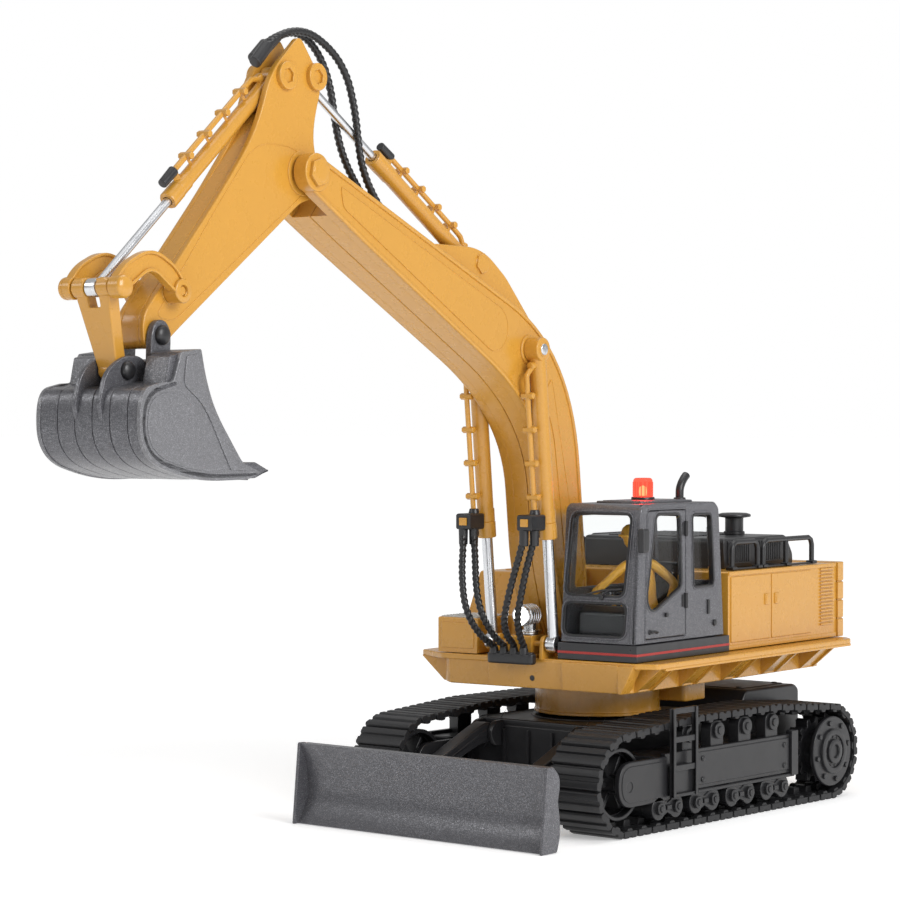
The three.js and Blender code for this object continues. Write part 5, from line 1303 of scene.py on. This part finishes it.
def boom():
    core = [*arc(STICK_PIVOT, 24.2, -50.7, -1.2, 10), *BOOM_OUTLINE[1:-1]]
    for sign, side in ((1, "left"), (-1, "right")):
        form = Form()

        form.plate("X", core, *span(sign, 0.15, 9.2), edge=0.45, bend=widen, steps=14)
        form.plate("X", BOOM_OUTLINE, *span(sign, 8.9, BOOM_HALF - 0.9), edge=0.2, bend=widen, steps=14)
        form.plate(
            "X", BOOM_OUTLINE, *span(sign, BOOM_HALF - 2, BOOM_HALF), [inset(BOOM_OUTLINE, 2.3)], 0.7,
            widen, 14,
        )
        # A thin raised line round each of the two long panels of the web.
        upper_panel = [[-238, 319.5, 3], *arc((-110, 256.5), 12, 66, -114, 12), [-236, 309, 3]]
        lower_panel = [[-57, 232, 3], *arc((-36.6, 128), 6.4, 5, -175, 10), [-55.8, 205, 12], [-66, 222, 4]]
        for panel in (upper_panel, lower_panel):
            form.plate(
                "X", panel, *span(sign, BOOM_HALF - 1.4, BOOM_HALF - 0.72), edge=0.2, bend=widen,
                steps=10,
            )
            form.plate(
                "X", panel, *span(sign, BOOM_HALF - 1.2, BOOM_HALF - 0.5), [inset(panel, 0.5)], 0.12,
                widen, 10,
            )
        bracket = [
            [-164, 286], [-160.6, 292, 4], [-154, 297, 3], [-113, 297, 13], [-92, 283, 4], [-58, 250],
            [-70, 246], [-120, 272],
        ]
        form.plate("X", bracket, *span(sign, 5.4, 8.6), edge=0.5, steps=12)
        form.hexagon(ARM_CYLINDER_BASE, *span(sign, 8.2, 9.8), 5.4, 0.4)
        form.pin(ARM_CYLINDER_BASE, *span(sign, 5.2, 8.9), 5.2, 32)
        form.pin(STICK_PIVOT, *span(sign, 10, 17.6), 9, 56, 0.6)
        form.pin(FOOT, *span(sign, 2, 14.6), 11.6, 56, 0.8)
        form.pin(FOOT, *span(sign, 14, 15.2), 7.4, 40, 0.4)
        form.pin(BOOM_CYLINDER_TOP, *span(sign, 10, 15), 7.6, 48, 0.6)
        piece("boom_shell_" + side, form, "boom", YELLOW, ["boom_half_" + side])

    form = Form()
    form.pin(STICK_PIVOT, *astride(17.8), 3, 28)
    for sign in (1, -1):
        x0, x1 = span(sign, 17.3, 19.6)
        form.hexagon(STICK_PIVOT, x0, x1, 6.8, 0.45)
        form.dome(STICK_PIVOT, x1 - sign * 0.2, x1 + sign * 0.35, 5)
    piece("stick_pin_bolt", form, "boom", YELLOW, ["stick_pin"])

    form = Form()
    form.pin(BOOM_CYLINDER_TOP, *astride(23.9), 2, 24)
    for sign in (1, -1):
        form.screw(BOOM_CYLINDER_TOP, *span(sign, 23.6, 24.6), 3.0)
        for turn in (0, math.pi / 2):
            y, z = BOOM_CYLINDER_TOP
            c = math.cos(turn)
            s = math.sin(turn)
            arms = rect(1.6, -1.6, -0.3, 0.3, swap=True)
            line = [[y + u * c - v * s, z + u * s + v * c] for u, v in arms]
            form.plate("X", line, *span(sign, 24.4, 24.75), edge=0.08)
    piece("boom_cylinder_screw_pin", form, "boom", STEEL, ["boom_cylinder_pin"])

    form = Form()
    form.pin(FOOT, BOOM_X - 18.6, BOOM_X + 20.2, 3, 28)
    form.hexagon(FOOT, BOOM_X + 19.1, BOOM_X + 21.3, 5, 0.4)
    piece("boom_foot_bolt", form, "upper_structure", YELLOW, ["boom_foot_pin"])


boom()


# ------------------------------------------------------------------ cylinders
def on_line(a, b, distance, off=0.0):
    """A point on the line from a to b, moved off to its forward or upper side."""
    a = Vector(a)
    b = Vector(b)
    d = (b - a).normalized()
    aside = Vector((d.y, -d.x))
    return a + d * distance + aside * off


def at_x(x, p):
    return (x, p[0], p[1])


def cylinder(name, x, ends, barrel, rod, body, rod_body):
    """A barrel with its pipe, and its rod.

    barrel is (length, radius, eye, half width of the eye, gap to the pipe).
    rod is (radius, start, eye, half width of the eye).
    """
    a, b = ends
    length, r, eye, eye_half, gap = barrel
    rod_radius, rod_start, rod_eye, rod_eye_half = rod
    form = Form()
    start = at_x(x, a)
    end = at_x(x, b)
    profile = [
        (0, 4), (r - 0.6, 4), (r, 4.6), (r, length - 15.4), (r + 0.4, length - 15),
        (r + 0.4, length - 8.8), (r + 0.1, length - 8.5), (r + 0.6, length - 8.2),
        (r + 0.6, length - 0.6), (r + 0.2, length), (rod_radius + 0.3, length),
        (rod_radius + 0.3, length - 3), (0, length - 3),
    ]
    form.lathe(profile, start, Vector(end) - Vector(start), 56)
    form.pin(a, x - eye_half, x + eye_half, eye, 48, 0.6)
    form.pin(a, x - eye_half - 0.3, x + eye_half + 0.3, eye * 0.62, 40, 0.3)
    off = r + gap
    pipe = [on_line(a, b, 7, r - 0.4), on_line(a, b, 9, r + 1.2), on_line(a, b, 12, off - 0.8)]
    pipe += [on_line(a, b, s, off) for s in (17, length * 0.5, length - 12)]
    form.tube([at_x(x, p) for p in pipe], 1.35, sides=18, steps=8)
    form.rod(at_x(x, on_line(a, b, 8, r - 1)), at_x(x, on_line(a, b, 8, r + 3)), 2, sides=24)
    for k in range(4):
        s = 23 + k * (length - 46) / 3
        form.rod(at_x(x, on_line(a, b, s, r - 0.6)), at_x(x, on_line(a, b, s, off)), 1.0, sides=4, edge=0.2)
        bar = on_line(a, b, s, off)
        form.rod((x - 3.6, *bar), (x + 3.6, *bar), 1.75, sides=6, edge=0.3)
    form.rod(
        at_x(x, on_line(a, b, length - 11.5, r - 1)), at_x(x, on_line(a, b, length - 11.5, off)), 2.2,
        sides=4,
    )
    form.paint = 1
    form.rod(
        at_x(x, on_line(a, b, length - 12, off)), at_x(x, on_line(a, b, length - 2, off)), 2.5, 2.2,
        sides=24,
    )
    piece(name + "_barrel_body", form, body, [YELLOW, BLACK], [name_of(name, "barrel")])
    form = Form()
    form.rod(at_x(x, on_line(a, b, rod_start)), end, rod_radius, sides=40)
    form.pin(b, x - rod_eye_half, x + rod_eye_half, rod_eye, 40, 0.5)
    piece(name + "_rod_shaft", form, rod_body, CHROME, [name_of(name, "rod")])


def name_of(name, what):
    """boom_cylinder_left keeps its side at the end of the CAD name."""
    for side in ("_left", "_right"):
        if name.endswith(side):
            return name[: -len(side)] + "_" + what + side
    return name + "_" + what


for side, sign in (("left", 1), ("right", -1)):
    cylinder(
        "boom_cylinder_" + side, BOOM_X + sign * CYLINDER_OUT, (BOOM_CYLINDER_TOP, BOOM_CYLINDER_FOOT),
        (98.5, 4.4, 6.2, 4.2, 6.4), (2.9, 56, 4.6, 2.8), "boom_cylinder_barrel_" + side,
        "boom_cylinder_rod_" + side,
    )
cylinder(
    "arm_cylinder", BOOM_X, (ARM_CYLINDER_BASE, ARM_CYLINDER_END), (93, 4, 5.4, 4.4, 4.2),
    (2.1, 50, 4.4, 2.6), "arm_cylinder_barrel", "arm_cylinder_rod",
)
cylinder(
    "bucket_cylinder", BOOM_X, (BUCKET_CYLINDER_BASE, LINK_TOP), (95, 3.7, 4.8, 3.6, 4.2),
    (2, 48, 4.2, 3), "bucket_cylinder_barrel", "bucket_cylinder_rod",
)


def hose_ends():
    """Couplings at the lower ends of the boom cylinders' pipes, and a fitting and a socket per top hose."""
    for side, sign in (("left", 1), ("right", -1)):
        x = BOOM_X + sign * CYLINDER_OUT
        form = Form()
        form.block(x - 4.6, x + 4.6, -91, -78.6, 152.6, 161, 1)
        form.rod((x, -81.4, 160.4), (x, -81.4, 163.4), 3, 2.4, sides=24)
        for name, route in LOWER_HOSES.items():
            if side in name:
                top = route[0]
                form.rod((top[0], top[1], 144.8), (top[0], top[1], 154), 2.3, 2.5, sides=24)
        form.paint = 1
        form.block(x - 2.2, x + 2.2, -91.7, -90.6, 154.8, 158.8, 0.3)
        piece("hose_coupling_" + side, form, "boom_cylinder_barrel_" + side, [BLACK, YELLOW])
    for name, route in UPPER_HOSES.items():
        form = Form()
        form.rod(route[0], route[2], 2.4, 2.1, sides=6, edge=0.3)
        form.rod((route[0][0], route[0][1] - 2, route[0][2] - 2), route[1], 3, 3, sides=24)
        piece(name + "_fitting", form, "stick", BLACK)
        form = Form()
        form.rod(route[-1], route[-2], 2.9, 2.4, sides=24)
        piece(name + "_socket", form, "boom", BLACK)


hose_ends()

# ------------------------------------------------------------------ stick
STICK_OUTLINE = [
    [-258.4, 388, 4], [-241.6, 368, 8], [-249.6, 343, 14], [-244.8, 327, 6], [-246, 313.6, 6],
    [-258, 310, 4], [-345, 247.4, 6], [-353.9, 240.2, 3], [-364.8, 239.8, 6], [-366, 254, 6],
    [-350.6, 271, 6], [-313.8, 311.4, 10], [-290, 340, 16], [-279, 369, 10],
]


def stick():
    form = Form()
    # The cheeks carry the whole outline; the core between them stops short of the two cylinder eyes.
    core = [
        [-253, 350, 8], [-249.6, 343, 8], [-244.8, 327, 6], [-246, 313.6, 6], [-258, 310, 4],
        [-345, 247.4, 6], [-353.9, 240.2, 3], [-364.8, 239.8, 6], [-366, 254, 6], [-350.6, 271, 6],
        [-313.8, 311.4, 10], [-292, 336, 10], [-278, 352, 6],
    ]
    form.plate("X", core, *astride(4.8), edge=0.3, steps=10)
    for sign in (1, -1):
        form.plate("X", STICK_OUTLINE, BOOM_X + sign * 4.6, BOOM_X + sign * STICK_HALF, edge=0.7, steps=12)
        panel = [
            [-262, 336, 10], [-252, 328, 8], [-256, 314, 5], [-346, 252, 5], [-358, 254, 5],
            [-316, 306, 10], [-290, 336, 12],
        ]
        face = BOOM_X + sign * STICK_HALF
        form.plate("X", panel, face - sign * 0.6, face + sign * 0.22, [inset(panel, 0.5)], 0.12, steps=10)
        for at in (BUCKET_CYLINDER_BASE, ARM_CYLINDER_END):
            inner = circle(at, 3.6, 6, 0.35)
            form.plate("X", circle(at, 6.5, 48), face - sign * 0.4, face + sign * 2.4, [inner], edge=0.5)
            form.plate("X", circle(at, 4.4, 24), face - sign * 0.4, face + sign * 0.9, edge=0.2)
        form.pin(STICK_PIVOT, face - sign * 0.4, face + sign * 0.6, 10.5, 56, 0.3)
        form.pin(ROCKER_PIVOT, face - sign * 0.4, face + sign * 0.3, 6, 40, 0.2)
    form.pin(BUCKET_CYLINDER_BASE, *astride(7), 1.7, 20)
    form.pin(ARM_CYLINDER_END, *astride(7), 1.1, 20)
    piece("stick_arm", form, "stick", YELLOW, ["stick"])


stick()


# ------------------------------------------------------------------ bucket linkage
def linkage():
    a = ROCKER_PIVOT
    j = LINK_TOP
    middle = (a[0] + j[0]) / 2
    arch = [
        [a[0] + 1, a[1] - 4.6, 2], [a[0] + 4.8, a[1] + 1, 2], [a[0] - 4, a[1] + 11, 6],
        [middle, a[1] + 18.6, 10], [j[0] + 2, j[1] + 10, 6], [j[0] - 4.8, j[1] + 1, 2],
        [j[0] - 1, j[1] - 4.6, 2], [j[0] + 9, j[1] + 2, 5], [middle, a[1] + 9.2, 9],
        [a[0] - 9, a[1] + 2, 5],
    ]
    form = Form()
    for sign in (1, -1):
        form.plate("X", arch, *span(sign, 11.2, 15.4), [inset(arch, 1.5)], 0.45, steps=12)
        form.plate("X", inset(arch, 1.3), *span(sign, 12.2, 14.2), edge=0.2, steps=12)
        tunnel = [(0, 0), (5.4, 0), (5.4, 6.6), (4.8, 7.3), (2.7, 7.3), (2.4, 6.8), (2.4, 4.6), (0, 4.6)]
        form.lathe(tunnel, (BOOM_X + sign * 8.5, *a), (sign, 0, 0), 44)
        form.pin(j, *span(sign, 11.2, 15.8), 5, 36, 0.5)
        form.dome(j, *span(sign, 15.6, 19.0), 5.0)
        form.paint = 1
        form.screw(a, *span(sign, 13.2, 14.6), 1.7)
        form.paint = 0
    form.pin(a, *astride(15), 2, 20)
    form.pin(j, *astride(15), 1.1, 20)
    piece("rocker_arches", form, "rocker_links", [YELLOW, STEEL], ["rocker_links"])

    form = Form()
    t = LINK_TOP
    b = LINK_BOTTOM

    def taper(p):
        share = (p.z - b[1]) / (t[1] - b[1])
        reach = 0.5 + 0.5 * min(1, max(0, share))
        return Vector((BOOM_X + (p.x - BOOM_X) * reach, p.y + (b[0] + (t[0] - b[0]) * share), p.z))

    web = [
        [b[1] - 3.6, BOOM_X - 10.4, 2], [b[1] - 3.6, BOOM_X + 10.4, 2], [b[1] + 12, BOOM_X + 10.4],
        [t[1] + 3.8, BOOM_X + 10.4, 3], [t[1] + 3.8, BOOM_X + 3.8, 1], [b[1] + 27, BOOM_X + 3.8, 1],
        [b[1] + 27, BOOM_X - 3.8, 1], [t[1] + 3.8, BOOM_X - 3.8, 1], [t[1] + 3.8, BOOM_X - 10.4, 3],
        [b[1] + 12, BOOM_X - 10.4],
    ]
    form.plate("Y", web, -3.2, 3.2, edge=0.8, bend=taper)
    for sign in (1, -1):
        form.pin(t, *span(sign, 3.7, 10.5), 4.4, 36, 0.5)
    form.pin(b, *astride(5.2), 3.8, 36, 0.5)
    piece("h_link_body", form, "h_link", YELLOW, ["h_link"])


linkage()

# ------------------------------------------------------------------ bucket
BUCKET_HALF = 30.5


def bucket():
    form = Form()
    low = BOOM_X - BUCKET_HALF
    high = BOOM_X + BUCKET_HALF
    curve = [[-321, 183.8, 4], [-356, 183.4, 16], [-390.6, 193, 17], [-391, 221, 13]]
    inside = [[-388.4, 219, 11], [-388.4, 194.6, 15], [-354, 185.8, 14], [-318, 186]]
    shell = [[-312.4, 185.4], *curve, [-369, 226, 2], [-369, 223.6], *inside]
    form.plate("X", shell, low, high, edge=0.3, steps=14)
    # Wear bands: narrow steps round the back, between slightly raised strips.
    edges = [low + 1.8, low + 12.2, low + 22.4, low + 32.6, low + 42.8, low + 53, high - 1.8]
    band = [[-356.4, 182.9, 16], [-391.2, 192.6, 17], [-391.6, 221.4, 13]]
    back = [[p[0] + 1.2, p[1] + 1.2, p[2]] for p in reversed(curve)]
    back[-1][1] = curve[0][1] - 1
    for k, (x0, x1) in enumerate(zip(edges, edges[1:])):
        outer = [[-321, 183.1 if k % 2 else 183.3, 4], *band, [-383, 223.6]]
        ring = [*outer, [-382, 221.6], *back]
        form.plate("X", ring, x0 + 0.18, x1 - 0.18, edge=0.3, steps=14)
    # Side cheeks, with a flat round panel and a cutting edge behind a groove. They take a lighter copy of
    # the shell's grey: painted light, for their lit look.
    cheek = [
        [-371, 225.4, 2], [-366, 238.2, 1], [-353, 239.8, 1], [-349.8, 226.6, 8], [-343.8, 212.8, 10],
        [-326, 190.8, 2], [-312.4, 186], [-321, 182.9, 4], [-356.4, 182.5, 16], [-391.8, 192.2, 17],
        [-392.2, 222, 13], [-378, 225],
    ]
    web = [
        [-372, 221.6, 12], [-358, 218, 10], [-336, 187.6, 3], [-356, 186.6, 14], [-387.4, 195, 15],
        [-387.6, 218, 12],
    ]
    blade_side = [
        [-365, 224, 4], [-363, 236.4, 1], [-355, 237.6, 1], [-352.2, 226, 8], [-346, 211.8, 10],
        [-329, 190, 2], [-322, 187], [-334, 187], [-352, 216, 10],
    ]
    for sign in (1, -1):
        face = BOOM_X + sign * BUCKET_HALF
        # Painted light: the side plates get the lighter copy of the grey.
        form.paint = 2
        form.plate("X", cheek, face - sign * 2.2, face, edge=0.45, steps=14)
        form.plate("X", web, face - sign * 0.4, face + sign * 0.35, edge=0.2, steps=12)
        form.plate("X", blade_side, face - sign * 0.4, face + sign * 0.6, edge=0.25, steps=10)
        form.paint = 0
    # The box along the top, open in the middle for the linkage.
    top = [[-371, 224], [-366, 238.2, 1], [-353, 239.8, 1], [-351, 232], [-363, 224]]
    for x0, x1 in ((low + 0.4, BOOM_X - 13), (BOOM_X + 13, high - 0.4)):
        form.plate("X", top, x0, x1, edge=0.5)
        form.plate(
            "X", [[-374, 224.4], [-371.2, 236.4, 0.6], [-366.4, 237.4], [-366, 224.4]], x0 + 2, x1 - 1.6,
            edge=0.6,
        )
    form.plate(
        "X", [[-369, 222.6], [-364, 233, 2], [-352, 236, 1], [-351.6, 228], [-363, 222.6]],
        *astride(13.4), edge=0.4,
    )
    for sign in (1, -1):
        ear = [
            [BUCKET_PIVOT[0] - 6.8, 232], [BUCKET_PIVOT[0] + 5.6, 234], [BUCKET_PIVOT[0] + 6.4, 247, 5],
            [BUCKET_PIVOT[0] + 3, 252.6, 4], [BUCKET_PIVOT[0] - 3, 252.6, 4],
            [BUCKET_PIVOT[0] - 6.4, 247, 5],
        ]
        form.plate("X", ear, *span(sign, 8.5, 12), edge=0.6, steps=8)
        horn = [
            [-362, 224], [-362, 233, 2], [-368, 236.8, 3], [-378, 236.8, 7], [-389, 230, 6],
            [-393.4, 216, 3], [-391, 208], [-386, 216, 3], [-378, 222],
        ]
        form.plate("X", horn, *span(sign, 6, 8.4), edge=0.6, steps=10)
        form.paint = 1
        form.dome(BUCKET_PIVOT, *span(sign, 11.8, 15), 4.3)
        form.dome(LINK_BOTTOM, *span(sign, 8.2, 11.2), 4.0)
        form.paint = 0
    form.pin(BUCKET_PIVOT, *astride(9), 2.5, 20)
    form.pin(LINK_BOTTOM, *astride(8), 1.5, 20)
    tooth = [[-325, 183.4], [-325, 190.2, 1], [-317, 190.6, 1], [-307.8, 186.8, 0.5], [-317, 183.4, 1]]
    for x in (-24, -12, 0, 12, 24):
        width = 5.4 if abs(x) == 24 else 3.6
        centre = BOOM_X + x + (1.6 if x == 24 else -1.6 if x == -24 else 0)
        form.plate("X", tooth, centre - width * 0.9, centre + width * 0.9, edge=0.6)
    piece("bucket_shell", form, "bucket", [GREY, BLACK, GREY_PAINTED_LIGHT], ["bucket"])


bucket()

# ------------------------------------------------------------------ carried-over CAD nodes
for node, material in {
    "base_cover": BLACK,
    "battery_pack": CELL,
    "slew_gear": BLACK,
    "drive_motor_left": STEEL,
    "drive_motor_right": STEEL,
    "slew_motor": STEEL,
    "slew_pinion": STEEL,
    "control_board": BOARD,
}.items():
    kept = bpy.data.objects[node]
    for slot in kept.material_slots:
        slot.material = material
    rims = kept.modifiers.new("rims", "BEVEL")
    rims.width = 0.3 * MM
    rims.segments = 2
    rims.limit_method = "ANGLE"

# ------------------------------------------------------------------ stage
# The floor glows a little, and more with distance, so that it runs into the white backdrop.
FADE_NEAR = 0.4
FADE_FAR = 1.7
FLOOR_GLOW = 0.32
FLOOR_GLOW_FAR = 0.74
FLOOR_REACH = 40.0
WORLD_LIGHT = 0.32
GLOSS_SHARE = 0.3
floor_paint = Paint("pale_floor", (0.9, 0.9, 0.9), 0.6)
floor_paint.tint(floor_paint.noise(3, 2), (0.89, 0.89, 0.89), (0.91, 0.91, 0.91))
floor_paint.set("Emission Color", (1, 1, 1, 1))
floor_paint.set("Specular IOR Level", 0.0)
reach = floor_paint.node("ShaderNodeVectorMath", operation="LENGTH")
floor_paint.link(floor_paint.coords.outputs["Object"], reach.inputs[0])
shine = floor_paint.remap(reach.outputs["Value"], FADE_NEAR, FADE_FAR, FLOOR_GLOW, FLOOR_GLOW_FAR)
floor_paint.link(shine, floor_paint.shader.inputs["Emission Strength"])
corners = [(-FLOOR_REACH, -FLOOR_REACH, 0), (FLOOR_REACH, -FLOOR_REACH, 0)]
corners += [(FLOOR_REACH, FLOOR_REACH, 0), (-FLOOR_REACH, FLOOR_REACH, 0)]
floor_mesh = bpy.data.meshes.new("floor")
floor_mesh.from_pydata(corners, [], [(0, 1, 2, 3)])
floor_mesh.materials.append(floor_paint.material)
floor = bpy.data.objects.new("floor", floor_mesh)
bpy.context.collection.objects.link(floor)

# The backdrop is white; it lights the object less than it shines.
world = bpy.data.worlds.new("studio")
world.use_nodes = True
tree = world.node_tree
background = tree.nodes["Background"]
background.inputs["Color"].default_value = (1.0, 1.0, 1.0, 1)
rays = tree.nodes.new("ShaderNodeLightPath")
gloss = tree.nodes.new("ShaderNodeMath")
gloss.operation = "MULTIPLY"
gloss.inputs[1].default_value = GLOSS_SHARE
seen = tree.nodes.new("ShaderNodeMath")
seen.operation = "MAXIMUM"
strength = tree.nodes.new("ShaderNodeMapRange")
strength.inputs["To Min"].default_value = WORLD_LIGHT
strength.inputs["To Max"].default_value = 1.0
tree.links.new(rays.outputs["Is Glossy Ray"], gloss.inputs[0])
tree.links.new(gloss.outputs[0], seen.inputs[0])
tree.links.new(rays.outputs["Is Camera Ray"], seen.inputs[1])
tree.links.new(seen.outputs[0], strength.inputs["Value"])
tree.links.new(strength.outputs["Result"], background.inputs["Strength"])
bpy.context.scene.world = world
bpy.context.scene.view_settings.view_transform = "Standard"


def softbox(name, place, size, power, aim=(0, 0, 0.15)):
    data = bpy.data.lights.new(name, "AREA")
    data.shape = "RECTANGLE"
    data.size, data.size_y = size
    data.energy = power
    light = bpy.data.objects.new(name, data)
    light.location = Vector(place) + SLEW_AXIS
    light.rotation_euler = (Vector(aim) + SLEW_AXIS - light.location).to_track_quat("-Z", "Y").to_euler()
    bpy.context.collection.objects.link(light)


softbox("key", (1.5, -0.35, 0.85), (0.9, 0.9), 20)
softbox("side", (-0.7, -1.4, 0.9), (0.9, 0.4), 4)
softbox("top", (0.0, 0.2, 1.6), (1.2, 1.2), 9)
